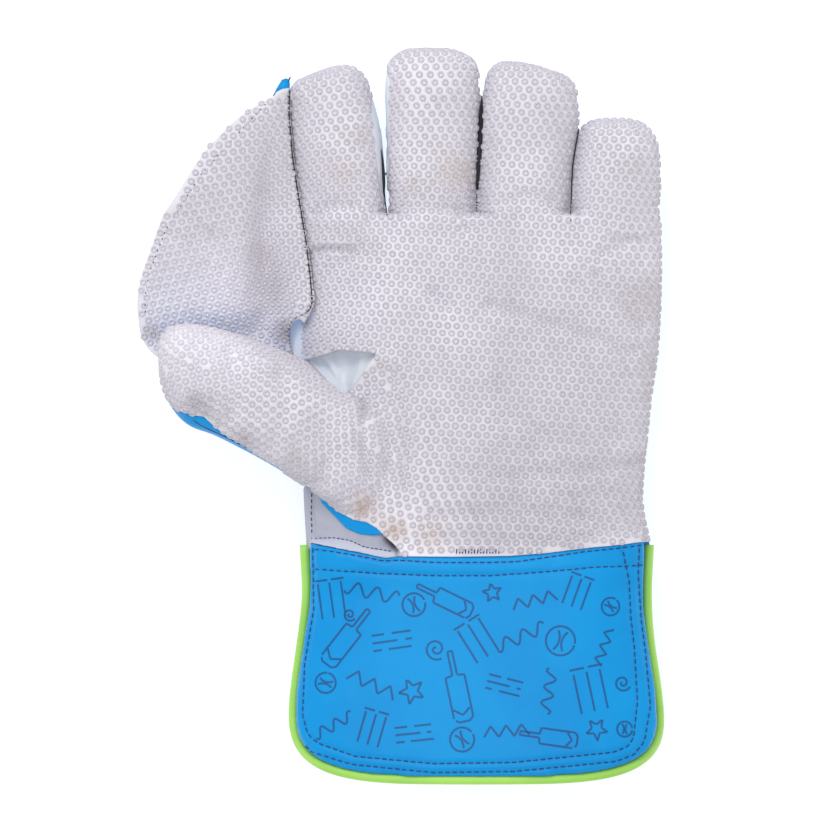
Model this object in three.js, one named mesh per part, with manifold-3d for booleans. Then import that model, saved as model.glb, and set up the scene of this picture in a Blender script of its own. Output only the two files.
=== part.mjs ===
// A left-hand wicketkeeping glove, lying on its back with the palm up.
// Millimetres: +X runs to the little finger, +Y to the fingertips, +Z up from the surface below.
// While it is built, X starts at the index side of the palm and Y at the wrist seam.
import * as THREE from "three";
import { mergeVertices } from "three/addons/utils/BufferGeometryUtils.js";
import Module from "manifold-3d";

// Driving dimensions
const palmLength = 144; // wrist seam to the roots of the fingers
const palmDepth = 49; // floor to palm at the roots of the fingers
const fingerLength = 71; // middle finger, root to tip
const fingerWidth = 39.5; // ring finger, the widest
const fingerDepth = 31; // back to front of a finger
const fingerGap = 1.6; // between two fingers at their roots
const fingerCurl = 14; // rise of a fingertip above its root
const thumbReach = 61.6; // thumb tip, out from the side of the palm
const thumbWidth = 45;
const thumbDepth = 36;
const webReach = 70.2; // outer edge of the web, out from the side of the palm
const cuffLength = 101; // wrist seam to the mouth
const cuffWidth = 163.5; // near the mouth, the widest
const cuffDepth = 57; // floor to the front of the mouth
const pipingWidth = 4.2; // lime piping, across

// Walls and clearances
const facingWall = 3; // leather with its rubber face
const sideWall = 2.2; // fourchettes and side seams
const backWall = 6; // padded leather
const gussetWall = 1.6; // soft leather
const webBackWall = 1.8;
const cuffWall = 7; // padded panel
const seamGap = 0.3; // between pieces that are sewn together
const footPress = 1.5; // depth to which the padded back is pressed flat

// Widths and lengths are shares of the ring finger's width and the middle finger's length;
// lean is in degrees towards the little finger.
const fingers = [
  { name: "index", width: 0.91, length: 0.895, lean: -5.6 },
  { name: "middle", width: 0.98, length: 1, lean: 0 },
  { name: "ring", width: 1, length: 0.92, lean: 2.4 },
  { name: "little", width: 0.92, length: 0.58, lean: 2 },
];

// Sections of a finger: along is a share of its own length from the root.
const fingerSections = [
  { along: -0.2, width: 0.93, depth: 0.88 },
  { along: 0.03, width: 0.985, depth: 0.975 },
  { along: 0.28, width: 1, depth: 1 },
  { along: 0.6, width: 0.995, depth: 0.98 },
  { along: 0.82, width: 0.975, depth: 0.92 },
  { along: 0.92, width: 0.93, depth: 0.8 },
  { along: 0.975, width: 0.83, depth: 0.62 },
  { along: 1, width: 0.66, depth: 0.4 },
];

// Sections of the palm: left and right are shares of its width, back and front of its depth.
const palmSections = [
  { along: 0, left: 0.012, right: 0.972, back: 0, front: 1.05 },
  { along: 0.15, left: 0.004, right: 0.948, back: 0, front: 1.07 },
  { along: 0.3, left: 0, right: 0.958, back: 0, front: 1.03 },
  { along: 0.46, left: 0, right: 0.974, back: 0, front: 0.96 },
  { along: 0.62, left: 0, right: 0.994, back: 0, front: 0.93 },
  { along: 0.78, left: 0, right: 1, back: 0.03, front: 0.95 },
  { along: 0.9, left: 0, right: 1, back: 0.2, front: 0.985 },
  { along: 1, left: 0.002, right: 0.998, back: 0.37, front: 0.995 },
];

// Sections of the thumb, root to tip: x is a share of the thumb's reach, y of the palm's length,
// turn is the angle of the section in degrees, z is a share of the palm's depth.
const thumbSections = [
  { x: -0.72, y: 0.186, turn: 73, width: 1.15, z: 0.6, depth: 0.84 },
  { x: -0.44, y: 0.256, turn: 77, width: 1.06, z: 0.82, depth: 0.95 },
  { x: -0.185, y: 0.328, turn: 69, width: 0.985, z: 0.94, depth: 1 },
  { x: 0.123, y: 0.415, turn: 67, width: 1.02, z: 1.06, depth: 1 },
  { x: 0.47, y: 0.483, turn: 70, width: 0.965, z: 1.16, depth: 0.95 },
  { x: 0.726, y: 0.526, turn: 80, width: 0.9, z: 1.2, depth: 0.91 },
  { x: 0.89, y: 0.545, turn: 88, width: 0.78, z: 1.2, depth: 0.8 },
  { x: 0.965, y: 0.554, turn: 91, width: 0.6, z: 1.19, depth: 0.64 },
  { x: 1, y: 0.563, turn: 92, width: 0.38, z: 1.18, depth: 0.4 },
];

// Rows of the web from its top corner down: seam is its line beside the finger and palm, edge its
// free outer line. The x shares are of the web's reach, y of the finger's length above the root and
// of the palm's length below it, z and the dip beside the seam of the palm's depth.
const webRows = [
  { seamX: 0.1, edgeX: 0.22, seamY: 0.78, edgeY: 0.73, seamZ: 1.06, midZ: 1.1, edgeZ: 1.08, dip: 0.1 },
  { seamX: 0.06, edgeX: 0.38, seamY: 0.6, edgeY: 0.585, seamZ: 1, midZ: 1.13, edgeZ: 1.11, dip: 0.12 },
  { seamX: 0.02, edgeX: 0.6, seamY: 0.35, edgeY: 0.36, seamZ: 0.93, midZ: 1.12, edgeZ: 1.14, dip: 0.14 },
  { seamX: -0.03, edgeX: 0.77, seamY: 0.1, edgeY: 0.1, seamZ: 0.83, midZ: 1.05, edgeZ: 1.12, dip: 0.15 },
  { seamX: -0.06, edgeX: 0.9, seamY: -0.08, edgeY: -0.08, seamZ: 0.74, midZ: 0.91, edgeZ: 1.03, dip: 0.16 },
  { seamX: -0.06, edgeX: 0.985, seamY: -0.19, edgeY: -0.2, seamZ: 0.64, midZ: 0.72, edgeZ: 0.9, dip: 0.16 },
  { seamX: -0.06, edgeX: 1, seamY: -0.27, edgeY: -0.3, seamZ: 0.56, midZ: 0.59, edgeZ: 0.77, dip: 0.14 },
  { seamX: -0.06, edgeX: 0.9, seamY: -0.36, edgeY: -0.385, seamZ: 0.5, midZ: 0.54, edgeZ: 0.74, dip: 0.06 },
  { seamX: -0.06, edgeX: 0.72, seamY: -0.44, edgeY: -0.455, seamZ: 0.5, midZ: 0.72, edgeZ: 0.96, dip: 0 },
];

// Sections of the cuff from the wrist to the mouth: width is a share of its width, front of its
// depth, and middle is the place of its centre line as a share of the palm's width.
const cuffSections = [
  { along: 0, width: 0.93, middle: 0.4925, front: 0.93 },
  { along: 0.19, width: 0.915, middle: 0.4925, front: 0.9 },
  { along: 0.37, width: 0.945, middle: 0.484, front: 0.92 },
  { along: 0.66, width: 1, middle: 0.485, front: 0.97 },
  { along: 0.83, width: 1.005, middle: 0.488, front: 1 },
  { along: 1, width: 0.995, middle: 0.488, front: 1 },
];

// Form of a section: crest is the place of its highest line from the index side, as a share of its
// width; the others say how square its corners are: 2 is an ellipse, more is squarer.
const form = {
  palm: { crest: 0.26, left: 2.3, right: 6, back: 4.6 },
  index: { crest: 0.62, left: 2.2, right: 2.8, back: 3 },
  middle: { crest: 0.5, left: 2.8, right: 2.8, back: 3 },
  ring: { crest: 0.5, left: 2.8, right: 2.8, back: 3 },
  little: { crest: 0.5, left: 2.6, right: 2.8, back: 3 },
  thumb: { crest: 0.5, left: 2.6, right: 2.6, back: 3 },
  cuff: { crest: 0.5, left: 2.8, right: 2.8, back: 2.8 },
};
const cuffCorner = 4; // how square the corners of the cuff's outline are
const sides = { palm: 28, finger: 18, thumb: 18, cuff: 30, piping: 7 };

// Places of seams, as shares of what they divide
const seamShare = 0.56; // height of the facing's edge in a section
const fourchetteShare = 0.3; // height of a fourchette's lower edge in a section
const rootBand = 0.03; // of the palm's length: the palm facing runs on past the roots
const crotchBand = 0.06; // of the palm's length: a fourchette runs back below the root
const fourchetteReach = 0.84; // of the shorter finger's length
const cornerStart = 0.6; // of the cuff's length, where its corners start to round
const mouthPipingSpan = 36; // degrees from the side seam, where the back's piping starts

// Opening between thumb and palm, and the wrist gusset: x is a share of the palm's width,
// y of its length, going round.
const thumbOpening = [
  { x: 0.0, y: 0.575 },
  { x: 0.0, y: 0.52 },
  { x: 0.09, y: 0.44 },
  { x: 0.145, y: 0.45 },
  { x: 0.2, y: 0.535 },
  { x: 0.21, y: 0.59 },
  { x: 0.11, y: 0.602 },
];
const wristOpening = [
  { x: -0.03, y: -0.02 },
  { x: 0.262, y: -0.02 },
  { x: 0.25, y: 0.01 },
  { x: 0.13, y: 0.1 },
  { x: 0.02, y: 0.2 },
  { x: -0.03, y: 0.2 },
];
const gussetSag = 0.22; // of the palm's depth
const valley = { place: 0.25, width: 0.13 }; // of the way from the web's seam to its edge
const gussetPlace = { left: 0.045, right: 0.2, low: 0.445, high: 0.585 };

// Colours and finish
const finishes = {
  facing: { color: 0xd0cedb, roughness: 0.6, metalness: 0 },
  paleLeather: { color: 0xd2dae4, roughness: 0.55, metalness: 0 },
  greyLeather: { color: 0xaaaebe, roughness: 0.8, metalness: 0 },
  blueLeather: { color: 0x269be2, roughness: 0.4, metalness: 0 },
  limePiping: { color: 0xa5de62, roughness: 0.45, metalness: 0 },
};

// Sizes that follow from the others
const fingerWidths = fingers.map((f) => f.width * fingerWidth);
const palmWidth = fingerWidths.reduce((sum, w) => sum + w, 0) + fingerGap * (fingers.length - 1);
const far = 4 * (palmLength + cuffLength + fingerLength); // past everything
const seamHalf = seamGap / 2;

const wasm = await Module();
wasm.setup();

// Closed triangles as a solid that can be cut and joined.
function solidOf(points, triangles) {
  const geometry = new THREE.BufferGeometry();
  geometry.setAttribute("position", new THREE.Float32BufferAttribute(points, 3));
  geometry.setIndex(triangles);
  return solidFromGeometry(geometry);
}

function solidFromGeometry(geometry) {
  const bare = new THREE.BufferGeometry();
  bare.setAttribute("position", geometry.getAttribute("position"));
  bare.setIndex(geometry.getIndex());
  const merged = mergeVertices(bare, 1e-4);
  const numProp = 3;
  const vertProperties = merged.attributes.position.array;
  const triVerts = new Uint32Array(merged.index.array);
  return new wasm.Manifold(new wasm.Mesh({ numProp, vertProperties, triVerts }));
}

const joined = (solids) => solids.reduce((all, one) => all.add(one));

// The largest body of a solid, without the crumbs that a cut can leave.
function mainBody(solid) {
  return solid.decompose().reduce((a, b) => (b.volume() > a.volume() ? b : a));
}

// Height of a section's front surface, or of its back where side is -1, at a place across it.
function surfaceAt(section, shape, x, side = 1) {
  const left = section.x - section.width / 2;
  const crest = left + shape.crest * section.width;
  const half = x < crest ? crest - left : left + section.width - crest;
  const square = side < 0 ? shape.back : x < crest ? shape.left : shape.right;
  const share = Math.min(1, Math.abs(x - crest) / half);
  const rise = Math.pow(1 - Math.pow(share, square), 1 / square);
  return (section.top + section.bottom + side * rise * (section.top - section.bottom)) / 2;
}

// A section is { x, y, turn, width, top, bottom }: a rounded rectangle standing on the floor plane,
// turned about Z by turn radians.
function ringOf(section, shape, count) {
  const ring = [];
  for (let k = 0; k < count; k++) {
    const angle = (2 * Math.PI * (k + 0.5)) / count;
    const [cosine, sine] = [Math.cos(angle), Math.sin(angle)];
    const square = sine < 0 ? shape.back : cosine < 0 ? shape.left : shape.right;
    const across = Math.sign(cosine) * Math.pow(Math.abs(cosine), 2 / square);
    const up = Math.sign(sine) * Math.pow(Math.abs(sine), 2 / square);
    const side = across < 0 ? shape.crest : 1 - shape.crest;
    const reach = (shape.crest - 0.5 + across * side) * section.width;
    const middle = (section.top + section.bottom) / 2;
    ring.push([
      section.x + reach * Math.cos(section.turn),
      section.y + reach * Math.sin(section.turn),
      middle + (up * (section.top - section.bottom)) / 2,
    ]);
  }
  return ring;
}

// A closed body through sections that follow each other along +Y or against the section's left.
function loft(sections, shape, count) {
  const points = [];
  const triangles = [];
  for (const section of sections) points.push(...ringOf(section, shape, count).flat());
  for (let row = 0; row < sections.length - 1; row++) {
    for (let k = 0; k < count; k++) {
      const a = row * count + k;
      const b = row * count + ((k + 1) % count);
      triangles.push(a, b + count, b, a, a + count, b + count);
    }
  }
  const last = (sections.length - 1) * count;
  const endCentres = [sections[0], sections[sections.length - 1]].map((section) => {
    points.push(section.x, section.y, (section.top + section.bottom) / 2);
    return points.length / 3 - 1;
  });
  for (let k = 0; k < count; k++) {
    const next = (k + 1) % count;
    triangles.push(endCentres[0], k, next, endCentres[1], last + next, last + k);
  }
  return solidOf(points, triangles);
}

// The same section with its walls taken off, or grown where the walls are negative.
function inset(section, side, front, back) {
  const width = section.width - 2 * side;
  return { ...section, width, top: section.top - front, bottom: section.bottom + back };
}

// A closed sheet: rows of points on its upper surface, thick straight down.
function sheet(rows, thickness) {
  const wide = rows[0].length;
  const upper = rows.flat(2);
  const lower = rows.flat().flatMap(([x, y, z]) => [x, y, z - thickness]);
  const count = rows.length * wide;
  const triangles = [];
  const face = (a, b, c, d) => triangles.push(a, b, c, a, c, d);
  for (let i = 0; i < rows.length - 1; i++) {
    for (let j = 0; j < wide - 1; j++) {
      const a = i * wide + j;
      face(a, a + wide, a + wide + 1, a + 1);
      face(count + a, count + a + 1, count + a + wide + 1, count + a + wide);
    }
  }
  const rim = [];
  for (let j = 0; j < wide - 1; j++) rim.push(j);
  for (let i = 0; i < rows.length - 1; i++) rim.push(i * wide + wide - 1);
  for (let j = wide - 1; j > 0; j--) rim.push((rows.length - 1) * wide + j);
  for (let i = rows.length - 1; i > 0; i--) rim.push(i * wide);
  rim.forEach((a, k) => {
    const b = rim[(k + 1) % rim.length];
    face(a, b, count + b, count + a);
  });
  return solidOf([...upper, ...lower], triangles);
}

// An outline in plan, cut straight up and down.
function prism(outline, low, high) {
  const shape = new THREE.Shape(outline.map(([x, y]) => new THREE.Vector2(x, y)));
  const geometry = new THREE.ExtrudeGeometry(shape, { depth: high - low, bevelEnabled: false });
  return solidFromGeometry(geometry.translate(0, 0, low));
}

// All that lies between two heights.
function slab(low, high) {
  return prism([[-far, -far], [far, -far], [far, far], [-far, far]], low, high);
}

// A profile of [y, z] points carried along X.
function alongX(profile, low, high) {
  const shape = new THREE.Shape(profile.map(([y, z]) => new THREE.Vector2(y, z)));
  const geometry = new THREE.ExtrudeGeometry(shape, { depth: high - low, bevelEnabled: false });
  const axes = [new THREE.Vector3(0, 1, 0), new THREE.Vector3(0, 0, 1), new THREE.Vector3(1, 0, 0)];
  const turned = new THREE.Matrix4().makeBasis(...axes).setPosition(low, 0, 0);
  return solidFromGeometry(geometry.applyMatrix4(turned));
}

// A profile of [x, z] points carried along -Y from high to low.
function alongY(profile, low, high) {
  const shape = new THREE.Shape(profile.map(([x, z]) => new THREE.Vector2(x, z)));
  const geometry = new THREE.ExtrudeGeometry(shape, { depth: high - low, bevelEnabled: false });
  const axes = [new THREE.Vector3(1, 0, 0), new THREE.Vector3(0, 0, 1), new THREE.Vector3(0, -1, 0)];
  const turned = new THREE.Matrix4().makeBasis(...axes).setPosition(0, high, 0);
  return solidFromGeometry(geometry.applyMatrix4(turned));
}

function tube(path, width, count) {
  const curve = new THREE.CatmullRomCurve3(path.map((p) => new THREE.Vector3(...p)));
  const round = [];
  for (let k = 0; k < count; k++) {
    const angle = (2 * Math.PI * k) / count;
    round.push(new THREE.Vector2(Math.cos(angle), Math.sin(angle)).multiplyScalar(width / 2));
  }
  const options = { steps: path.length * 2, extrudePath: curve, bevelEnabled: false };
  return solidFromGeometry(new THREE.ExtrudeGeometry(new THREE.Shape(round), options));
}

// Value at a place between the rows of a table whose places rise.
function between(rows, place, placeOf, valueOf) {
  if (place <= placeOf(rows[0])) return valueOf(rows[0]);
  for (let k = 1; k < rows.length; k++) {
    if (place <= placeOf(rows[k])) {
      const span = placeOf(rows[k]) - placeOf(rows[k - 1]);
      const share = (place - placeOf(rows[k - 1])) / span;
      return valueOf(rows[k - 1]) * (1 - share) + valueOf(rows[k]) * share;
    }
  }
  return valueOf(rows[rows.length - 1]);
}

// Section at a place between those of a body that runs along Y.
function sectionAt(sections, y) {
  const at = (key) => between(sections, y, (s) => s.y, (s) => s[key]);
  return { x: at("x"), y, turn: 0, width: at("width"), top: at("top"), bottom: at("bottom") };
}

// Palm
function palmSection(row) {
  const left = row.left * palmWidth;
  const right = row.right * palmWidth;
  return {
    x: (left + right) / 2,
    y: row.along * palmLength,
    turn: 0,
    width: right - left,
    top: row.front * palmDepth,
    bottom: row.back * palmDepth - footPress,
  };
}
const palm = palmSections.map(palmSection);
const palmRoot = palm[palm.length - 1];
const palmBody = loft(palm, form.palm, sides.palm);

function palmHollow() {
  const walls = palm.map((s) => inset(s, sideWall, facingWall, backWall + footPress));
  const wrist = { ...walls[0], y: -2 * cuffWall };
  const end = { ...walls[walls.length - 1], y: palmLength - sideWall };
  return loft([wrist, ...walls.slice(0, -1), end], form.palm, sides.palm);
}

// Front surface of the palm's hollow at a place in plan.
function palmHollowFront(x, y) {
  const section = sectionAt(palm, y);
  return surfaceAt(inset(section, sideWall, facingWall, backWall + footPress), form.palm, x);
}

// Fingers
function fingerRoot(index) {
  const before = fingerWidths.slice(0, index).reduce((sum, w) => sum + w + fingerGap, 0);
  return before + fingerWidths[index] / 2;
}

function curlAt(y) {
  const share = Math.max(0, (y - palmLength) / fingerLength);
  return fingerCurl * Math.pow(share, 1.5);
}

function fingerSectionsOf(index, shorter = 0) {
  const finger = fingers[index];
  const length = finger.length * fingerLength - shorter;
  const lean = THREE.MathUtils.degToRad(finger.lean);
  return fingerSections.map((row) => {
    const y = palmLength + row.along * length;
    const middle = palmRoot.top - fingerDepth / 2 + curlAt(y);
    return {
      x: fingerRoot(index) + row.along * length * Math.tan(lean),
      y,
      turn: -lean,
      width: row.width * fingerWidths[index],
      top: middle + (row.depth * fingerDepth) / 2,
      bottom: middle - (row.depth * fingerDepth) / 2,
    };
  });
}

function fingerBody(index) {
  return loft(fingerSectionsOf(index), form[fingers[index].name], sides.finger);
}

function fingerHollow(index) {
  const walls = fingerSectionsOf(index, facingWall).map((s) => {
    const padding = Math.min(backWall, (s.top - s.bottom) / 3);
    return inset(s, sideWall, facingWall, padding);
  });
  const inside = { ...walls[0], y: walls[0].y - 2 * sideWall };
  return loft([inside, ...walls.slice(1)], form[fingers[index].name], sides.finger);
}

// Thumb
function thumbSection(row) {
  const middle = row.z * palmDepth;
  return {
    x: -row.x * thumbReach,
    y: row.y * palmLength,
    turn: THREE.MathUtils.degToRad(row.turn),
    width: row.width * thumbWidth,
    top: middle + (row.depth * thumbDepth) / 2,
    bottom: middle - (row.depth * thumbDepth) / 2,
  };
}
const thumb = thumbSections.map(thumbSection);
const thumbBody = loft(thumb, form.thumb, sides.thumb);
const thumbHollow = loft(
  thumb.slice(0, -1).map((s, k) => {
    const tip = k === thumb.length - 2 ? facingWall / 2 : 0;
    return { ...inset(s, sideWall + tip / 2, facingWall, backWall - tip), x: s.x + tip };
  }),
  form.thumb,
  sides.thumb,
);

// Whole body and hollow, and the bodies grown by the seam gap
const fingerBodies = fingers.map((_, k) => fingerBody(k));
const fingerHollows = fingers.map((_, k) => fingerHollow(k));
const hollow = joined([palmHollow(), ...fingerHollows, thumbHollow]);
const aboveFloor = slab(0, far);
const handBody = joined([palmBody, ...fingerBodies]).intersect(aboveFloor);
const handShell = handBody.subtract(hollow);
const grow = (s) => inset(s, -seamGap, -seamGap, -seamGap);
const grownHand = joined([
  loft(palm.map(grow), form.palm, sides.palm),
  ...fingers.map((finger, k) => {
    return loft(fingerSectionsOf(k, -seamGap).map(grow), form[finger.name], sides.finger);
  }),
]);
const grownThumb = loft(
  [...thumb.map(grow), { ...grow(thumb[thumb.length - 1]), x: thumb[thumb.length - 1].x - seamGap }],
  form.thumb,
  sides.thumb,
);

// Height of a lengthwise seam at a share of the section's depth, over palm and fingers alike
function seamLine(share, offset) {
  const middleFinger = fingerSectionsOf(1).slice(2);
  const line = [...palm, ...middleFinger].map((s) => {
    const depth = s.y > palmLength ? fingerDepth : s.top - s.bottom;
    const bottom = s.y > palmLength ? (s.top + s.bottom - fingerDepth) / 2 : s.bottom;
    return [s.y, bottom + share * depth + offset];
  });
  return [[-far, line[0][1]], ...line, [far, line[line.length - 1][1]]];
}

function inFrontOf(share, offset) {
  return alongX([...seamLine(share, offset), [far, far], [-far, far]], -far, far);
}
function behind(share, offset) {
  return alongX([[-far, -far], [far, -far], ...seamLine(share, -offset).reverse()], -far, far);
}
const front = inFrontOf(seamShare, seamHalf);
const back = behind(seamShare, seamHalf);

function acrossY(low, high) {
  return prism([[-far, low], [far, low], [far, high], [-far, high]], -far, far);
}
const rootLine = palmLength * (1 + rootBand);
const fingersOnly = acrossY(rootLine + seamHalf, far);
const palmOnly = acrossY(seamHalf, rootLine - seamHalf);

// Fourchettes, each with the strips on two facing fingers and the crotch between them
function fourchetteSpace(index, clear) {
  const shorter = Math.min(fingers[index].length, fingers[index + 1].length) * fingerLength;
  const low = palmLength * (1 - crotchBand) - clear;
  const high = palmLength + shorter * fourchetteReach + clear;
  const band = inFrontOf(fourchetteShare, -clear).intersect(behind(seamShare, -clear + seamHalf));
  const columns = [
    [fingerRoot(index) - clear, low],
    [fingerRoot(index + 1) + clear, low],
    [fingerRoot(index + 1) + clear, high],
    [fingerRoot(index) - clear, high],
  ];
  return band.intersect(prism(columns, -far, far));
}
const fourchetteSpaces = [0, 1, 2].map((k) => fourchetteSpace(k, seamGap));
const fourchetteRoom = joined(fourchetteSpaces);

// Openings in plan, in millimetres, and the same outline with its edges moved in by a distance
const inPlan = (outline) => outline.map((p) => [p.x * palmWidth, p.y * palmLength]);

function movedIn(outline, distance) {
  const count = outline.length;
  const edges = outline.map(([x, y], k) => {
    const [nextX, nextY] = outline[(k + 1) % count];
    const length = Math.hypot(nextX - x, nextY - y);
    return [-(nextY - y) / length, (nextX - x) / length];
  });
  return outline.map(([x, y], k) => {
    const [ax, ay] = edges[(k + count - 1) % count];
    const [bx, by] = edges[k];
    const scale = distance / (1 + ax * bx + ay * by);
    return [x + (ax + bx) * scale, y + (ay + by) * scale];
  });
}

// Web: upper surface of its facing, from the seam beside the finger to the outer edge
function webSurface(drop) {
  const steps = 7;
  return webRows.map((row) => {
    const upright = (share) => palmLength + share * (share > 0 ? fingerLength : palmLength);
    const line = [];
    for (let k = 0; k <= steps; k++) {
      const t = k / steps;
      const bend = 4 * t * (1 - t);
      const straight = row.seamZ * (1 - t) + row.edgeZ * t;
      const bulge = (row.midZ - (row.seamZ + row.edgeZ) / 2) * bend;
      const dip = row.dip * Math.exp(-Math.pow((t - valley.place) / valley.width, 2));
      line.push([
        -(row.seamX * (1 - t) + row.edgeX * t) * webReach,
        upright(row.seamY) * (1 - t) + upright(row.edgeY) * t,
        (straight + bulge - dip) * palmDepth - drop,
      ]);
    }
    return line;
  }).reverse();
}
function webPiece(drop, thickness) {
  const whole = sheet(webSurface(drop), thickness);
  return mainBody(whole.subtract(grownHand).subtract(grownThumb));
}

// Cuff
function cuffSection(row) {
  return {
    x: row.middle * palmWidth,
    y: -row.along * cuffLength,
    turn: 0,
    width: row.width * cuffWidth,
    top: row.front * cuffDepth,
    bottom: -footPress,
  };
}
const cuff = cuffSections.map(cuffSection).reverse(); // from the mouth up
const cuffSpan = acrossY(-far, -seamHalf);
const pastMouth = { ...cuff[0], y: cuff[0].y - cuffWall };
const atWrist = { ...cuff[cuff.length - 1], y: cuffWall };
const cuffBody = loft([pastMouth, ...cuff.slice(0, -1), atWrist], form.cuff, sides.cuff);
const cuffHollow = loft(
  [
    { ...pastMouth, y: pastMouth.y - cuffWall },
    ...cuff.slice(0, -1),
    { ...atWrist, y: 2 * cuffWall },
  ].map((s) => inset(s, cuffWall, cuffWall, cuffWall + footPress)),
  form.cuff,
  sides.cuff,
);
const cuffSeam = (cuffDepth * cuffSections[0].front) / 2; // height of the side seam
const cuffAt = (y) => sectionAt(cuff, y);

// Outline of the cuff in plan, taken in by some amount: down the index side, round the mouth and
// up the other side. Each point keeps how far round the mouth it is, from 0 at a side to 1.
function cuffOutline(takenIn) {
  const points = [];
  const cornerY = -cornerStart * cuffLength;
  const sideSteps = 5;
  const mouthSteps = 18;
  const side = (sign) => (k) => {
    const y = (cornerY * k) / sideSteps;
    const x = cuffAt(y).x + sign * (cuffAt(y).width / 2 - takenIn);
    return [x, y, 0];
  };
  for (let k = 0; k < sideSteps; k++) points.push(side(-1)(k));
  for (let k = 0; k <= mouthSteps; k++) {
    const angle = Math.PI * (1 - k / mouthSteps);
    const power = 2 / cuffCorner;
    const across = Math.sign(Math.cos(angle)) * Math.pow(Math.abs(Math.cos(angle)), power);
    const down = Math.pow(Math.sin(angle), power);
    const y = cornerY - down * (cuffLength + cornerY - takenIn);
    const half = cuffAt(y).width / 2 - takenIn;
    points.push([cuffAt(y).x + across * half, y, Math.sin(angle)]);
  }
  for (let k = sideSteps - 1; k >= 0; k--) points.push(side(1)(k));
  return points;
}
const panelOutline = cuffOutline(pipingWidth + seamGap);
const panelTop = [
  [panelOutline[panelOutline.length - 1][0], cuffWall],
  [panelOutline[0][0], cuffWall],
];
const panelPrism = prism([...panelOutline, ...panelTop], -far, far);
const cuffShell = cuffBody.subtract(cuffHollow).intersect(panelPrism).intersect(cuffSpan);
const cuffFrontHalf = slab(cuffSeam + seamHalf, far);
const cuffBackHalf = slab(0, cuffSeam - seamHalf);

// The piping runs at the side seams and climbs onto the front edge of the mouth.
function pipingPath() {
  return cuffOutline(pipingWidth / 2).map(([x, y, round]) => {
    const climb = THREE.MathUtils.smoothstep(round, 0, 0.75);
    const edge = surfaceAt(cuffAt(y), form.cuff, x) - pipingWidth * 0.75;
    return [x, y - seamGap, cuffSeam + climb * (edge - cuffSeam)];
  });
}
function mouthPipingPath() {
  const start = Math.sin(THREE.MathUtils.degToRad(mouthPipingSpan));
  const lowest = pipingWidth / 2 + seamGap;
  return cuffOutline(pipingWidth / 2)
    .filter(([, , round]) => round > start)
    .map(([x, y]) => [x, y, Math.max(lowest, surfaceAt(cuffAt(y), form.cuff, x, -1) + pipingWidth * 0.75)]);
}

// Gusset between thumb and palm: a soft sheet hung inside the opening
function thumbGusset() {
  const steps = 8;
  const rows = [];
  for (let i = 0; i <= steps; i++) {
    const row = [];
    for (let j = 0; j <= steps; j++) {
      const x = (gussetPlace.left + ((gussetPlace.right - gussetPlace.left) * i) / steps) * palmWidth;
      const y = (gussetPlace.low + ((gussetPlace.high - gussetPlace.low) * j) / steps) * palmLength;
      const dip = Math.sin((Math.PI * i) / steps) * Math.sin((Math.PI * j) / steps);
      row.push([x, y, palmHollowFront(x, y) - 2 * seamGap - dip * gussetSag * palmDepth]);
    }
    rows.push(row);
  }
  return sheet(rows, gussetWall);
}

// The pieces
const palmFront = handShell.intersect(front).intersect(palmOnly);
const thumbSpace = prism(inPlan(thumbOpening), 0, far);
const wristSpace = prism(inPlan(wristOpening), 0, far);
const thumbCore = thumbBody.subtract(hollow).subtract(grownHand);
const thumbFacingEdge = thumb.map((s) => [s.x, s.bottom + seamShare * (s.top - s.bottom)]);

function thumbHalf(sign) {
  const line = thumbFacingEdge.map(([x, z]) => [x, z + sign * seamHalf]).reverse();
  const closed = [[-far, line[0][1]], ...line, [far, line[line.length - 1][1]]];
  const outline = sign > 0
    ? [...closed, [far, far], [-far, far]]
    : [[-far, -far], [far, -far], ...closed.reverse()];
  return mainBody(thumbCore.intersect(alongY(outline, -far, far)));
}

const pieces = new Map();
const place = (name, finish, solid) => pieces.set(name, { finish, solid });

place(
  "palm_facing",
  "facing",
  mainBody(palmFront.subtract(thumbSpace).subtract(wristSpace)),
);
fingers.forEach((finger, k) => {
  const shell = fingerBodies[k].subtract(hollow).intersect(fingersOnly);
  place(`${finger.name}_facing`, "facing", mainBody(shell.intersect(front)));
  const padded = shell.intersect(back).subtract(fourchetteRoom);
  place(`${finger.name}_back`, "blueLeather", mainBody(padded));
});
[0, 1, 2].forEach((k) => {
  const strip = handShell.intersect(fourchetteSpace(k, 0));
  place(`fourchette_${fingers[k].name}_${fingers[k + 1].name}`, "paleLeather", mainBody(strip));
});
place(
  "hand_back",
  "blueLeather",
  mainBody(handShell.intersect(back).intersect(palmOnly).subtract(fourchetteRoom)),
);
place("thumb_facing", "facing", thumbHalf(1));
place("thumb_back", "blueLeather", thumbHalf(-1));
place("web_facing", "facing", webPiece(0, facingWall));
place("web_backing", "blueLeather", webPiece(facingWall + seamGap, webBackWall));
place("thumb_gusset", "paleLeather", thumbGusset());
place(
  "wrist_gusset",
  "greyLeather",
  mainBody(palmFront.intersect(prism(movedIn(inPlan(wristOpening), seamGap), 0, far))),
);
place("cuff_front", "blueLeather", mainBody(cuffShell.intersect(cuffFrontHalf)));
place("cuff_back", "blueLeather", mainBody(cuffShell.intersect(cuffBackHalf)));
place("cuff_piping", "limePiping", tube(pipingPath(), pipingWidth, sides.piping));
place("mouth_piping", "limePiping", tube(mouthPipingPath(), pipingWidth, sides.piping));

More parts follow.
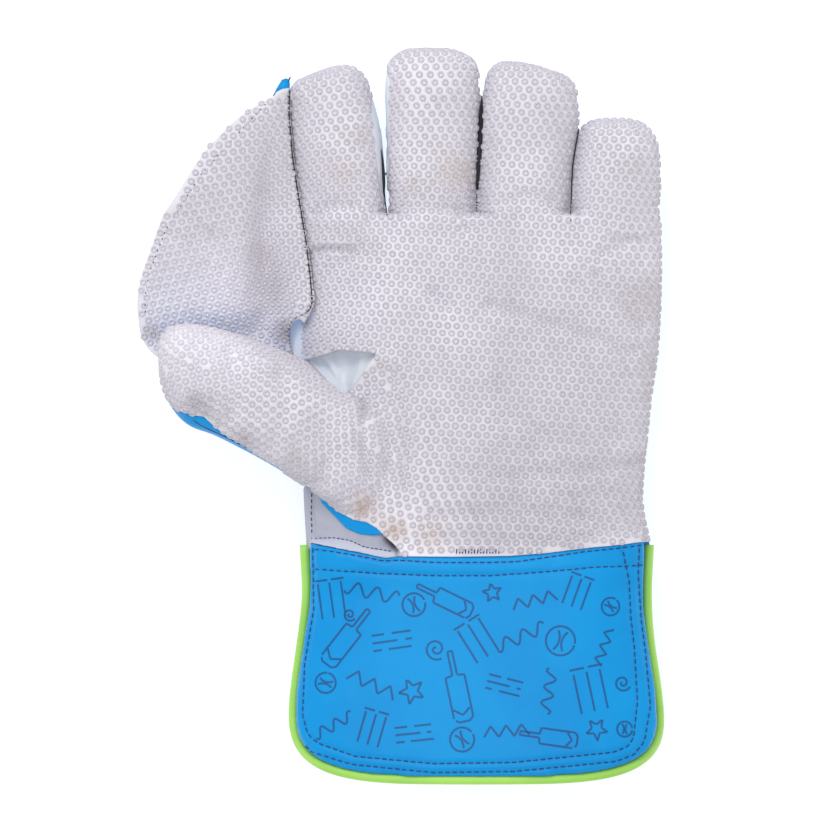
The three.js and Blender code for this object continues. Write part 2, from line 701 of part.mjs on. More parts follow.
function meshOf(name, { finish, solid }) {
  const { numProp, vertProperties, triVerts } = solid.getMesh();
  const positions = new Float32Array((vertProperties.length / numProp) * 3);
  for (let v = 0; v < positions.length / 3; v++) {
    for (let axis = 0; axis < 3; axis++) positions[3 * v + axis] = vertProperties[v * numProp + axis];
  }
  const geometry = new THREE.BufferGeometry();
  geometry.setAttribute("position", new THREE.BufferAttribute(positions, 3));
  geometry.setIndex(new THREE.BufferAttribute(new Uint32Array(triVerts), 1));
  geometry.computeVertexNormals();
  const mesh = new THREE.Mesh(geometry, new THREE.MeshStandardMaterial(finishes[finish]));
  mesh.name = name;
  return mesh;
}

// The origin is the centre of the glove's outline, on the surface that it lies on.
const glove = new THREE.Group();
for (const [name, piece] of pieces) glove.add(meshOf(name, piece));
const box = new THREE.Box3().setFromObject(glove);
const centre = box.getCenter(new THREE.Vector3());
glove.position.set(-centre.x, -centre.y, -box.min.z);

export default glove;
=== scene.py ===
import math

import bpy
import numpy as np
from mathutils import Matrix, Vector
from mathutils.bvhtree import BVHTree
from mathutils.kdtree import KDTree


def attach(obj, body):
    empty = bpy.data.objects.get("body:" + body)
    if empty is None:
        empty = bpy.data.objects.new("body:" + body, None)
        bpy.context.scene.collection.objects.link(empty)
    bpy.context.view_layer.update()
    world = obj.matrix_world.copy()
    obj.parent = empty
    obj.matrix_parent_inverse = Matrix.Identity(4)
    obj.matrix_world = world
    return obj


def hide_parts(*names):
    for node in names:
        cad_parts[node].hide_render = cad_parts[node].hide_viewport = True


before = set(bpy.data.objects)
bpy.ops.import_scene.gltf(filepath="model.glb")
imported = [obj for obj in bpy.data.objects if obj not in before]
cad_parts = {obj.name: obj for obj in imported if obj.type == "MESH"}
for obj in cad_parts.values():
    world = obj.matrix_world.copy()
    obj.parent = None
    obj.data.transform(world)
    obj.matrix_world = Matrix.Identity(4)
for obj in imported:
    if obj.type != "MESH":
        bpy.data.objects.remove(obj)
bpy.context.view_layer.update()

# A left-hand wicketkeeping glove, palm up. Lengths here are millimetres: x from the palm's index
# side, y from the wrist seam, z from the surface below. meshObject moves them to the glove's origin.
glove = dict(
    originX=43.373, originY=56.855,
    palmLength=144, palmDepth=49, fingerLength=71, fingerWidth=39.5, fingerDepth=31,
    fingerGap=1.6, fingerCurl=14, thumbReach=61.6, thumbWidth=45, thumbDepth=36, webReach=70.2,
    cuffLength=101, cuffWidth=163.5, cuffDepth=57, pipingWidth=4.2, footPress=1.5,
    seamShare=0.56, fourchetteShare=0.3, rootLine=148.3,
    palmSpare=0.8, fingerSpare=0.9,  # taken off the widths, as the padding swells
    voxel=1.05, facingThick=2.3, facingKept=0.91, backThick=5.2, fingerThick=4.4, thumbThick=4,
    fourchetteThick=1.4, stripThick=1.6, wristThick=1.2, sheetGap=0.2,
)
fingerNames = ["index", "middle", "ring", "little"]
fingerWidths = np.array([0.91, 0.98, 1, 0.92]) * glove["fingerWidth"]
fingerLengths = np.array([0.895, 1, 0.92, 0.58]) * glove["fingerLength"]
fingerLeans = np.radians([-5.6, 0, 2.4, 2])
palmWidth = fingerWidths.sum() + 3 * glove["fingerGap"]

# along, left and right as shares of the palm's width, back and front as shares of its depth
palmRows = [
    (0, 0.012, 0.972, 0, 1.05), (0.15, 0.004, 0.948, 0, 1.07), (0.3, 0, 0.958, 0, 1.03),
    (0.46, 0, 0.974, 0, 0.96), (0.62, -0.012, 0.994, 0, 0.93), (0.78, -0.006, 1, 0.03, 0.95),
    (0.9, 0, 1, 0.2, 0.985), (1, 0.002, 0.998, 0.37, 0.995),
]
# along, depth
fingerRows = [(-0.2, 0.88), (0.03, 0.975), (0.28, 1), (0.6, 0.99), (0.75, 0.94), (0.86, 0.81), (0.93, 0.63),
              (0.98, 0.37), (1, 0.14)]
# along, left and right edges in plan
fingerEdges = [
    [(-0.2, 301, 384), (0.03, 297.5, 386), (0.28, 292.5, 385), (0.45, 289, 384), (0.6, 287.8, 380.5),
     (0.72, 287.8, 376), (0.85, 289.5, 370), (0.92, 295, 364.5), (0.975, 317, 357.5), (1, 331, 351)],
    [(-0.2, 390, 474), (0.03, 389, 476.5), (0.28, 387.6, 478), (0.45, 386, 479.2), (0.6, 385, 479.7),
     (0.72, 383.8, 480), (0.85, 385, 479), (0.92, 388.5, 476), (0.975, 397.5, 465), (1, 409, 450)],
    [(-0.2, 477, 568), (0.03, 477, 570.3), (0.28, 478.3, 573), (0.45, 480, 576.5), (0.6, 481.3, 578.7),
     (0.72, 482.2, 579.2), (0.85, 484.5, 576.5), (0.92, 487.5, 567), (0.975, 493.5, 541), (1, 501, 520)],
    [(-0.2, 572, 656), (0.03, 570.5, 658.2), (0.28, 571.5, 660.5), (0.6, 575.2, 660.5), (0.72, 577, 659.5),
     (0.85, 579.5, 654.5), (0.92, 583, 649), (0.975, 592, 641), (1, 612, 631)],
]
# x outward, y, turn, width, z, depth
thumbRows = [
    (-0.72, 0.186, 73, 1.15, 0.6, 0.84), (-0.44, 0.256, 77, 1.06, 0.82, 0.95),
    (-0.185, 0.328, 69, 0.985, 0.94, 1), (0.123, 0.415, 67, 1.02, 1.06, 1),
    (0.47, 0.483, 70, 0.965, 1.16, 0.95), (0.726, 0.526, 80, 0.9, 1.2, 0.91),
    (0.875, 0.545, 88, 0.78, 1.2, 0.8), (0.945, 0.554, 91, 0.6, 1.19, 0.64),
    (0.978, 0.563, 92, 0.38, 1.18, 0.4),
]
# seam in plan, edge x and y, seam z, middle z, edge z, fold beside the seam
webRows = [
    (289.5, 88.5, 0.215, 0.69, 0.98, 1.1, 1.08, 0), (288.8, 115, 0.38, 0.585, 0.97, 1.13, 1.11, 0),
    (292.2, 157, 0.6, 0.36, 0.92, 1.12, 1.14, 0.02), (298.7, 199, 0.77, 0.1, 0.86, 1.04, 1.12, 0.07),
    (306.1, 242, 0.9, -0.08, 0.81, 0.92, 1.02, 0.13), (310.6, 279, 0.985, -0.2, 0.78, 0.8, 0.9, 0.15),
    (312.6, 304, 1, -0.3, 0.77, 0.73, 0.79, 0.15), (301, 330, 0.945, -0.392, 0.66, 0.63, 0.76, 0.08),
    (299, 362, 0.72, -0.455, 0.5, 0.72, 0.96, 0),
]
# along, width, middle, front
cuffRows = [
    (0, 0.9405, 0.4872, 0.93), (0.19, 0.924, 0.488, 0.9), (0.37, 0.945, 0.484, 0.92),
    (0.66, 1, 0.485, 0.97), (0.83, 1.005, 0.488, 1), (1, 0.995, 0.488, 1),
]
# crest, and squareness of the left, right and back
forms = dict(
    palm=(0.27, 1.7, 3.4, 4.6), index=(0.68, 1.65, 2.1, 3), middle=(0.46, 2.2, 2.1, 3),
    ring=(0.48, 2.1, 2.1, 3), little=(0.5, 2.1, 2.1, 3), thumb=(0.5, 2.3, 2.3, 3),
    cuff=(0.5, 2.8, 2.8, 2.8),
)


plan = dict(step=0.431, x=402, y=417.5)  # a fine grid from the upper left, for outlines drawn in plan


def traced(points):
    grid = np.asarray(points, float)
    x = (grid[:, 0] - plan["x"]) * plan["step"] + glove["originX"]
    y = (plan["y"] - grid[:, 1]) * plan["step"] + glove["originY"]
    return np.stack([x, y], 1)


origin = np.array([glove["originX"], glove["originY"], 0])
millimetre = 0.001
aboveAll = 200  # height that plumb lines start from


# Mesh helpers
def meshObject(name, points, faces, smooth=True):
    placed = (np.asarray(points, float) - origin) * millimetre
    mesh = bpy.data.meshes.new(name)
    mesh.from_pydata(placed.tolist(), [], faces.tolist() if isinstance(faces, np.ndarray) else faces)
    mesh.update()
    made = bpy.data.objects.new(name, mesh)
    bpy.context.collection.objects.link(made)
    if smooth:
        mesh.shade_smooth()
    return made


def alone(piece):
    bpy.ops.object.select_all(action="DESELECT")
    piece.select_set(True)
    bpy.context.view_layer.objects.active = piece


def modify(piece, kind, **settings):
    alone(piece)
    modifier = piece.modifiers.new(kind.lower(), kind)
    for key, value in settings.items():
        setattr(modifier, key, value)
    bpy.ops.object.modifier_apply(modifier=modifier.name)


def remesh(piece, voxel):
    modify(piece, "REMESH", mode="VOXEL", voxel_size=voxel * millimetre, use_smooth_shade=True)


def thicken(piece, thick, offset=-1):
    modify(piece, "SOLIDIFY", thickness=thick * millimetre, offset=offset, use_rim=True)


def copyOf(piece):
    made = piece.copy()
    made.data = piece.data.copy()
    bpy.context.collection.objects.link(made)
    return made


def fit(piece, slot, *nodes):  # rides on the glove, in place of its plain solids
    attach(piece, "root")
    if nodes:
        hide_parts(*nodes)
    return piece


def pointsOf(piece):
    flat = np.empty(len(piece.data.vertices) * 3)
    piece.data.vertices.foreach_get("co", flat)
    return flat.reshape(-1, 3) * 1000 + origin


def setPoints(piece, points):
    placed = (points - origin) * millimetre
    piece.data.vertices.foreach_set("co", placed.ravel())
    piece.data.update()


def normalsOf(piece):
    flat = np.empty(len(piece.data.vertices) * 3)
    piece.data.vertex_normals.foreach_get("vector", flat)
    return flat.reshape(-1, 3)


def trianglesOf(piece):
    piece.data.calc_loop_triangles()
    flat = np.empty(len(piece.data.loop_triangles) * 3, dtype=np.int32)
    piece.data.loop_triangles.foreach_get("vertices", flat)
    return flat.reshape(-1, 3)


def setShade(piece, name, values):
    layer = piece.data.attributes.get(name) or piece.data.attributes.new(name, "FLOAT", "POINT")
    layer.data.foreach_set("value", np.asarray(values, dtype=np.float32))


def treeOf(points, triangles):
    return BVHTree.FromPolygons([tuple(p) for p in points], [tuple(t) for t in triangles.tolist()])


def nearestTree(points):
    tree = KDTree(len(points))
    for k, p in enumerate(points):
        tree.insert(p, k)
    tree.balance()
    return tree


def plumb(surface, x, y):  # where a line straight down meets a surface
    spot, normal, _, _ = surface.ray_cast(Vector((x, y, aboveAll)), Vector((0, 0, -1)))
    return spot, normal


def gridFaces(tall, wide):
    index = np.arange(tall * wide).reshape(tall, wide)
    corners = index[:-1, :-1], index[:-1, 1:], index[1:, 1:], index[1:, :-1]
    a, b, c, d = (corner.ravel() for corner in corners)
    return np.vstack([np.stack([a, b, c], 1), np.stack([a, c, d], 1)])


def tubeFaces(rings, sides, first=0):  # round the rings, and over both ends
    faces = []
    for r in range(rings - 1):
        for j in range(sides):
            n = (j + 1) % sides
            faces.append((r * sides + j, r * sides + n, (r + 1) * sides + n, (r + 1) * sides + j))
    faces.append(tuple(range(sides - 1, -1, -1)))
    faces.append(tuple((rings - 1) * sides + j for j in range(sides)))
    return [tuple(first + i for i in face) for face in faces]


def lengthAlong(path):
    return np.concatenate([[0], np.cumsum(np.linalg.norm(np.diff(path, axis=0), axis=1))])


def resampled(path, places, at):
    return np.stack([np.interp(at, places, column) for column in path.T], 1)


def compact(points, triangles):
    used, index = np.unique(triangles, return_inverse=True)
    return points[used], index.reshape(-1, 3)


# Keeps the part of a triangle mesh where the field is above zero, with a clean cut edge.
def cutAway(points, triangles, field):
    field = np.where(np.abs(field) < 0.03, 0.03, field)
    above = field > 0
    count = above[triangles].sum(1)
    kept = [triangles[count == 3]]
    extra, made = [], {}

    def crossing(a, b):
        key = (a, b) if a < b else (b, a)
        if key not in made:
            share = field[a] / (field[a] - field[b])
            made[key] = len(points) + len(extra)
            extra.append(points[a] + (points[b] - points[a]) * share)
        return made[key]

    cut = []
    for triangle in triangles[(count == 1) | (count == 2)].tolist():
        inside = [k for k in range(3) if above[triangle[k]]]
        if len(inside) == 1:
            a, b, c = (triangle[(inside[0] + k) % 3] for k in range(3))
            cut.append((a, crossing(a, b), crossing(a, c)))
        else:
            outside = ({0, 1, 2} - set(inside)).pop()
            c, a, b = (triangle[(outside + k) % 3] for k in range(3))
            bc, ca = crossing(b, c), crossing(c, a)
            cut += [(a, b, bc), (a, bc, ca)]
    if cut:
        kept.append(np.array(cut))
    allPoints = np.vstack([points, np.array(extra).reshape(-1, 3)])
    return compact(allPoints, np.vstack(kept))


def largestBody(points, triangles):
    parent = np.arange(len(points))

    def root(a):
        while parent[a] != a:
            parent[a] = parent[parent[a]]
            a = parent[a]
        return a

    for a, b, c in triangles.tolist():
        ra, rb, rc = root(a), root(b), root(c)
        parent[rb] = ra
        parent[root(rc)] = ra
    roots = np.array([root(t[0]) for t in triangles.tolist()])
    names, sizes = np.unique(roots, return_counts=True)
    return compact(points, triangles[roots == names[sizes.argmax()]])


def distanceTo(points, line):
    best = np.full(len(points), 1e9)
    for (ax, ay), (bx, by) in zip(line[:-1], line[1:]):
        dx, dy = bx - ax, by - ay
        share = ((points[:, 0] - ax) * dx + (points[:, 1] - ay) * dy) / max(dx * dx + dy * dy, 1e-9)
        share = share.clip(0, 1)
        best = np.minimum(best, np.hypot(points[:, 0] - ax - share * dx, points[:, 1] - ay - share * dy))
    return best


def outsideOf(points, outline):  # distance in plan, below zero within the outline
    closed = np.vstack([outline, outline[:1]])
    inside = np.zeros(len(points), bool)
    for (ax, ay), (bx, by) in zip(closed[:-1], closed[1:]):
        spans = (ay > points[:, 1]) != (by > points[:, 1])
        x = ax + (points[:, 1] - ay) * (bx - ax) / (by - ay if by != ay else 1e-9)
        inside ^= spans & (points[:, 0] < x)
    away = distanceTo(points, closed)
    return np.where(inside, -away, away)


def smoothStep(low, high, x):
    t = ((np.asarray(x, float) - low) / (high - low)).clip(0, 1)
    return t * t * (3 - 2 * t)


# Sections and lofts
def smoothRows(rows, steps):
    rows = np.asarray(rows, float)
    ends = np.vstack([2 * rows[0] - rows[1], rows, 2 * rows[-1] - rows[-2]])
    made = []
    for k in range(len(rows) - 1):
        a, b, c, d = ends[k:k + 4]
        for t in np.arange(steps) / steps:
            made.append(0.5 * (2 * b + (c - a) * t + (2 * a - 5 * b + 4 * c - d) * t * t
                               + (3 * b - a - 3 * c + d) * t ** 3))
    return np.vstack(made + [rows[-1:]])


def ringOf(section, form, count):  # section: x, y, turn, width, top, bottom
    x, y, turn, width, top, bottom = section
    crest, left, right, back = form
    angle = 2 * np.pi * (np.arange(count) + 0.5) / count
    cosine, sine = np.cos(angle), np.sin(angle)
    square = np.where(sine < 0, back, np.where(cosine < 0, left, right))
    across = np.sign(cosine) * np.abs(cosine) ** (2 / square)
    up = np.sign(sine) * np.abs(sine) ** (2 / square)
    reach = (crest - 0.5 + across * np.where(across < 0, crest, 1 - crest)) * width
    z = (top + bottom) / 2 + up * (top - bottom) / 2
    return np.stack([x + reach * np.cos(turn), y + reach * np.sin(turn), z], 1)


def loft(sections, form, count):
    points = np.vstack([ringOf(s, form, count) for s in sections])
    k = np.arange(count)
    n = (k + 1) % count
    faces = []
    for row in range(len(sections) - 1):
        a, b = row * count + k, row * count + n
        faces += np.stack([a, a + count, b + count], 1).tolist()
        faces += np.stack([a, b + count, b], 1).tolist()
    last = (len(sections) - 1) * count
    centres = [points[:count].mean(0), points[last:].mean(0)]
    first = len(points)
    points = np.vstack([points, centres])
    faces += np.stack([np.full(count, first), k, n], 1).tolist()
    faces += np.stack([np.full(count, first + 1), last + n, last + k], 1).tolist()
    return points, np.array(faces)


def surfaceAt(section, form, x, side=1):
    middle, _, _, width, top, bottom = section
    crest, left, right, back = form
    start = middle - width / 2
    peak = start + crest * width
    half = np.where(x < peak, peak - start, start + width - peak)
    square = np.where(x < peak, left, right) if side > 0 else back
    share = np.minimum(0.999, np.abs(x - peak) / half)
    return (top + bottom) / 2 + side * (1 - share ** square) ** (1 / square) * (top - bottom) / 2


def palmSection(row):
    along, left, right, back, front = row
    return ((left + right) / 2 * palmWidth, along * glove["palmLength"], 0, (right - left) * palmWidth,
            front * glove["palmDepth"], back * glove["palmDepth"] - glove["footPress"])


palm = np.array([palmSection(r) for r in smoothRows(palmRows, 5)])
palm[:, 3] -= glove["palmSpare"]
palmTop = palm[-1][4]


def fingerMiddle(k):
    before = fingerWidths[:k].sum() + k * glove["fingerGap"]
    return before + fingerWidths[k] / 2


def fingerSections(k, steps=5):
    made = []
    places, left, right = np.array(fingerEdges[k]).T
    for along, depth in smoothRows(fingerRows, steps):
        y = glove["palmLength"] + along * fingerLengths[k]
        rise = max(0, (y - glove["palmLength"]) / glove["fingerLength"]) ** 1.5 * glove["fingerCurl"]
        middle = palmTop - glove["fingerDepth"] / 2 + rise
        ends = traced([(np.interp(along, places, left), 0), (np.interp(along, places, right), 0)])[:, 0]
        made.append((ends.mean(), y, -fingerLeans[k], ends[1] - ends[0] - glove["fingerSpare"],
                     middle + depth * glove["fingerDepth"] / 2, middle - depth * glove["fingerDepth"] / 2))
    return np.array(made)


def thumbSections(steps=5):
    made = []
    for x, y, turn, width, z, depth in smoothRows(thumbRows, steps):
        middle, half = z * glove["palmDepth"], depth * glove["thumbDepth"] / 2
        made.append((-x * glove["thumbReach"], y * glove["palmLength"], math.radians(turn),
                     width * glove["thumbWidth"], middle + half, middle - half))
    return np.array(made)


thumb = thumbSections()

clothFrames = 20


# Padding: air pressure swells a coarse copy as cloth, and the piece follows its surface
def puff(piece, voxel, pressure, cap, sideways=0.1):
    coarse = copyOf(piece)
    remesh(coarse, voxel)
    before = pointsOf(coarse)
    cloth = coarse.modifiers.new("cloth", "CLOTH")
    cloth.settings.use_pressure = True
    cloth.settings.uniform_pressure_force = pressure
    cloth.settings.effector_weights.gravity = 0
    scene = bpy.context.scene
    for number in range(clothFrames):
        scene.frame_set(number + 1)
    alone(coarse)
    bpy.ops.object.modifier_apply(modifier=cloth.name)
    moved = pointsOf(coarse) - before
    scene.frame_set(1)
    bpy.data.objects.remove(coarse)
    size = np.linalg.norm(moved, axis=1, keepdims=True)
    moved *= np.minimum(1, cap / np.maximum(size, 1e-6))
    moved[:, :2] *= sideways
    tree = nearestTree(before)
    place = pointsOf(piece)
    for k, p in enumerate(place):
        near = tree.find_n(p, 5)
        weight = np.array([1 / (gap + 0.3) for _, _, gap in near])
        place[k] += weight @ moved[[i for _, i, _ in near]] / weight.sum()
    place[:, 2] = np.maximum(place[:, 2], 0.1)
    setPoints(piece, place)


# Cuff: two padded panels, quilted along the stitch lines
cuff = dict(voxel=1.7, clothVoxel=3.2, pressure=4, swell=1.6, fill=0.6, groove=0.55, grooveWidth=1.1)
cuffTop = traced([(295, 543), (312, 543.5), (331, 547), (360, 552.5), (386, 557.5), (398, 555.8),
                  (454, 556.4), (509.5, 555.5), (546.4, 552.7), (583.4, 548), (620.4, 544.4),
                  (642.6, 541.6), (660, 541)])
stitchLines = dict(
    top=[(314, 549), (331, 551), (356, 555), (384, 560.5), (398, 559.7), (435.5, 562), (491, 562),
         (518.7, 561), (546.4, 556.9), (583.4, 551.4), (620.4, 547.6), (641, 545)],
    topSecond=[(314, 569), (350, 571), (380, 573), (435.5, 575), (491, 575), (546.4, 571.2),
               (592.7, 566.8), (642, 565)],
    left=[(313, 547), (314, 609), (305, 663), (303, 714), (308, 733), (318, 742), (356, 755), (433, 762),
          (510, 761), (612, 751), (626, 746), (633, 737), (637, 700), (634, 647), (630.6, 618),
          (628.8, 581), (622.3, 549)],
    leftSecond=[(310, 547), (310, 600), (299, 655), (294, 712), (299, 738), (312, 751), (352, 763),
                (433, 771), (512, 770), (616, 760), (634, 753), (644, 740), (650, 705), (645, 650),
                (640.8, 618), (638, 574), (639, 545)],
)


def cuffTopAt(x):
    return np.interp(x, cuffTop[:, 0], cuffTop[:, 1])


def cuffPanel(name, node):
    piece = copyOf(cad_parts[node])
    piece.name = name
    piece.data.name = name
    piece.hide_render = piece.hide_viewport = False
    piece.data.materials.clear()
    alone(piece)
    bpy.ops.object.mode_set(mode="EDIT")
    bpy.ops.mesh.select_all(action="SELECT")
    bpy.ops.mesh.remove_doubles(threshold=0.00001)
    bpy.ops.object.mode_set(mode="OBJECT")
    remesh(piece, cuff["voxel"])
    modify(piece, "SMOOTH", factor=0.5, iterations=8)
    puff(piece, cuff["clothVoxel"], cuff["pressure"], cuff["swell"], 0)
    modify(piece, "SUBSURF", levels=1, render_levels=1)
    fit(piece, "blue_leather", node)
    return piece


cuffFront = cuffPanel("cuffFront", "cuff_front")
place, normal = pointsOf(cuffFront), normalsOf(cuffFront)
place[:, 1] += (cuffTopAt(place[:, 0]) + 0.8) * smoothStep(-10, -1, place[:, 1])  # up under the palm
place[:, 0] -= 1.5 * smoothStep(-42, -18, place[:, 1]) * smoothStep(40, 5, place[:, 0])
place[:, :2] += normal[:, :2] * 0.8 * smoothStep(-20, -40, place[:, 1])[:, None]  # out to the piping
facingUp = smoothStep(0.1, 0.5, normal[:, 2])
push = np.zeros(len(place))
for line in stitchLines.values():
    push -= cuff["groove"] * np.exp(-(distanceTo(place, traced(line)) / cuff["grooveWidth"]) ** 2)
push += 0.25 * np.sin(place[:, 0] / 13 + 2) * np.sin(place[:, 1] / 15)
setPoints(cuffFront, place + normal * (push * facingUp)[:, None])
cuffFront.data.shade_smooth()
cuffBack = cuffPanel("cuffBack", "cuff_back")
cuffTree = treeOf(pointsOf(cuffFront), trianglesOf(cuffFront))
print("cuff done")


def overCuff(points, lift):  # a sheet's lower edge rests on the cuff
    made = points.copy()
    for k in np.flatnonzero((points[:, 1] < cuffTopAt(points[:, 0]) + 8) & (points[:, 2] > 30)):
        x, y, z = points[k]
        line = float(cuffTopAt(x))
        spot, _ = plumb(cuffTree, x, min(y, line - 0.3))
        if spot is not None and spot.z > z - 4:
            made[k, 2] = z + float(smoothStep(line + 7, line + 0.5, y)) * (spot.z + lift - z)
    return made


# The hand as one smooth skin: palm, fingers and thumb run into each other
creases = dict(  # line in plan, half width, depth
    thenar=([(366, 404), (364, 440), (368, 472)], 2.4, 1.3),
    thenarOuter=([(392, 372), (404, 400), (410, 440), (407, 485)], 2.8, 1.6),
    life=([(490, 305), (520, 315), (560, 327), (600, 340), (632, 352)], 2.6, 1.1),
    littleRoot=([(596, 276), (615, 298), (640, 325)], 2.4, 1.0),
    heel=([(455, 470), (510, 478), (580, 472), (640, 462)], 3.2, 1.0),
    heelLow=([(430, 515), (500, 512), (580, 516)], 3.2, 0.9),
    middleDent=([(432, 296), (447, 309)], 3.0, 1.2),
    indexRoot=([(318, 212), (335, 206), (352, 208)], 2.4, 1.1),
    indexSide=([(330, 272), (345, 262), (352, 255)], 2.8, 1.0),
    ringRoot=([(505, 203), (525, 195), (548, 200)], 2.6, 0.9),
    littleDent=([(602, 252), (620, 247)], 2.6, 0.9),
    middleRoot=([(400, 216), (425, 210), (455, 212)], 2.8, 0.8),
    thumbFold=([(232, 352), (238, 385), (232, 420)], 3.0, 0.9),
    thumbFoldTwo=([(280, 375), (287, 410), (272, 445)], 3.2, 1.0),
    thumbFoldThree=([(196, 348), (200, 375), (196, 400)], 2.6, 0.7),
    ball=([(318, 420), (330, 450), (322, 478)], 3.4, 1.0),
)
thumbHole = traced([(303, 360), (313, 357.6), (323, 355.5), (333, 351.7), (346, 350.7), (360, 351.7),
                    (377, 353.6), (367, 366), (358, 380.4), (352, 389), (346, 396), (339, 390),
                    (332.8, 384.2), (318.4, 374.6)])
crescent = traced([(299, 318.5), (294, 322), (290.5, 328), (290.2, 337), (291.2, 345), (294, 356),
                   (297, 361.5), (304, 366), (312, 366), (310, 330)])
wristEdge = traced([(280, 478), (307, 485), (321.3, 497), (338.5, 511.5), (353.8, 519.5), (367.2, 522),
                    (376.8, 527.7), (386.4, 537), (397.8, 547), (402, 554), (404, 585), (280, 585)])
gapLines = [  # between two fingers each
    traced([(386.5, 260), (387.3, 215), (387, 190), (385.8, 165), (384.6, 140), (381, 110), (376.5, 88),
            (371, 65), (366, 30)]),
    traced([(476.5, 260), (476.8, 215), (477.8, 190), (479, 165), (480.8, 130), (481, 100), (482, 60),
            (482, 30)]),
    traced([(570, 260), (570.3, 215), (572.3, 167), (577.8, 130), (579.5, 100), (581, 30)]),
]
openGap = traced([(386.8, 201), (386.2, 192), (385.6, 176), (385.2, 160), (384.6, 146), (383.6, 132),
                  (382.8, 122)])
openWidths = np.array([0.2, 1.3, 1.1, 1.2, 1.9, 2.3, 2.3]) * plan["step"]  # to either side


def gapX(k, y):
    line = gapLines[k]
    return np.interp(y, line[:, 1], line[:, 0])


def offOpenGap(points):  # below zero in the open part of the gap between index and middle finger
    y = points[:, 1]
    middle = np.interp(y, openGap[:, 1], openGap[:, 0])
    away = np.abs(points[:, 0] - middle) - np.interp(y, openGap[:, 1], openWidths)
    return np.maximum(away, np.maximum(openGap[0, 1] - y, y - openGap[-1, 1]))


hand = dict(start=-12, palmSides=120, fingerSides=64, smoothing=10)


def handSkin():
    points, faces = [], []
    start = palm[0].copy()
    start[1] = hand["start"]
    bodies = [loft(np.vstack([start, palm]), forms["palm"], hand["palmSides"])]
    bodies += [loft(fingerSections(k), forms[fingerNames[k]], hand["fingerSides"]) for k in range(4)]
    bodies.append(loft(thumb, forms["thumb"], hand["fingerSides"]))
    shift = 0
    for p, f in bodies:
        points.append(p)
        faces.append(f + shift)
        shift += len(p)
    skin = meshObject("skin", np.vstack(points), np.vstack(faces))
    remesh(skin, glove["voxel"])
    modify(skin, "SMOOTH", factor=0.5, iterations=hand["smoothing"])
    place, normal = pointsOf(skin), normalsOf(skin)
    front = smoothStep(0.05, 0.5, normal[:, 2])
    push = np.zeros(len(place))
    for line, width, depth in creases.values():  # a hollow with a low bank beside it
        away = distanceTo(place, traced(line))
        push -= depth * np.exp(-(away / width) ** 2)
        push += 0.35 * depth * np.exp(-((away - 2.1 * width) / width) ** 2)
    x, y = place[:, 0], place[:, 1]  # shallow dents of worn rubber
    push += 0.35 * np.sin(x / 9 + 1.3 * np.sin(y / 17)) * np.sin(y / 12 + np.sin(x / 21))
    push += 0.16 * np.sin(x / 3.7 + 2 * np.sin(y / 6.1)) * np.sin(y / 4.3 + x / 11)
    place += normal * (push * front)[:, None]
    place[:, 2] = np.maximum(place[:, 2], 0.1)
    setPoints(skin, place)
    return skin


skin = handSkin()
skinPoints, skinTriangles = pointsOf(skin), trianglesOf(skin)
skinTree = treeOf(skinPoints, skinTriangles)
bpy.data.objects.remove(skin)
print("hand skin:", len(skinTriangles), "triangles")


# Heights of the seams, over palm and fingers, and over the thumb
middleLine = fingerSections(1, 1)[2:]
seamPlaces = np.concatenate([palm[:, 1], middleLine[:, 1]])


def seamHeights(share):
    palmPart = palm[:, 5] + share * (palm[:, 4] - palm[:, 5])
    centre = (middleLine[:, 4] + middleLine[:, 5]) / 2
    return np.concatenate([palmPart, centre + (share - 0.5) * glove["fingerDepth"]])


def seamAt(points, share):
    return np.interp(points[:, 1], seamPlaces, seamHeights(share))


thumbByX = thumb[np.argsort(thumb[:, 0])]


def thumbAt(points, column):
    return np.interp(points[:, 0], thumbByX[:, 0], thumbByX[:, column])


def isThumb(points):
    return smoothStep(3, -9, points[:, 0]) * (points[:, 1] < 97)


# Strips of the backs that show from the front: places along them, and how far the seam is raised there
besideIndex = traced([(0, 95), (0, 110), (0, 131), (0, 160), (0, 185), (0, 205), (0, 216)])[::-1, 1]
raisedIndex = [0, 3, 6, 8.3, 8.3, 6, 1]
besideMiddle = traced([(0, 62), (0, 70), (0, 85), (0, 115), (0, 141), (0, 160), (0, 175)])[::-1, 1]
raisedMiddle = [0.6, 2.5, 4.5, 5.1, 6, 4, 0]
underThumb = traced([(170, 0), (187, 0), (205, 0), (218, 0), (230, 0), (245, 0), (262, 0), (285, 0)])[:, 0]
raisedThumb = [0, 6.5, 9, 7, 5, 4, 1.5, 0]
fingerTips = glove["palmLength"] + fingerLengths
drops = dict(gap=3.5, farFinger=3, tip=4, side=9, overThumb=9)  # how far the seam runs lower there


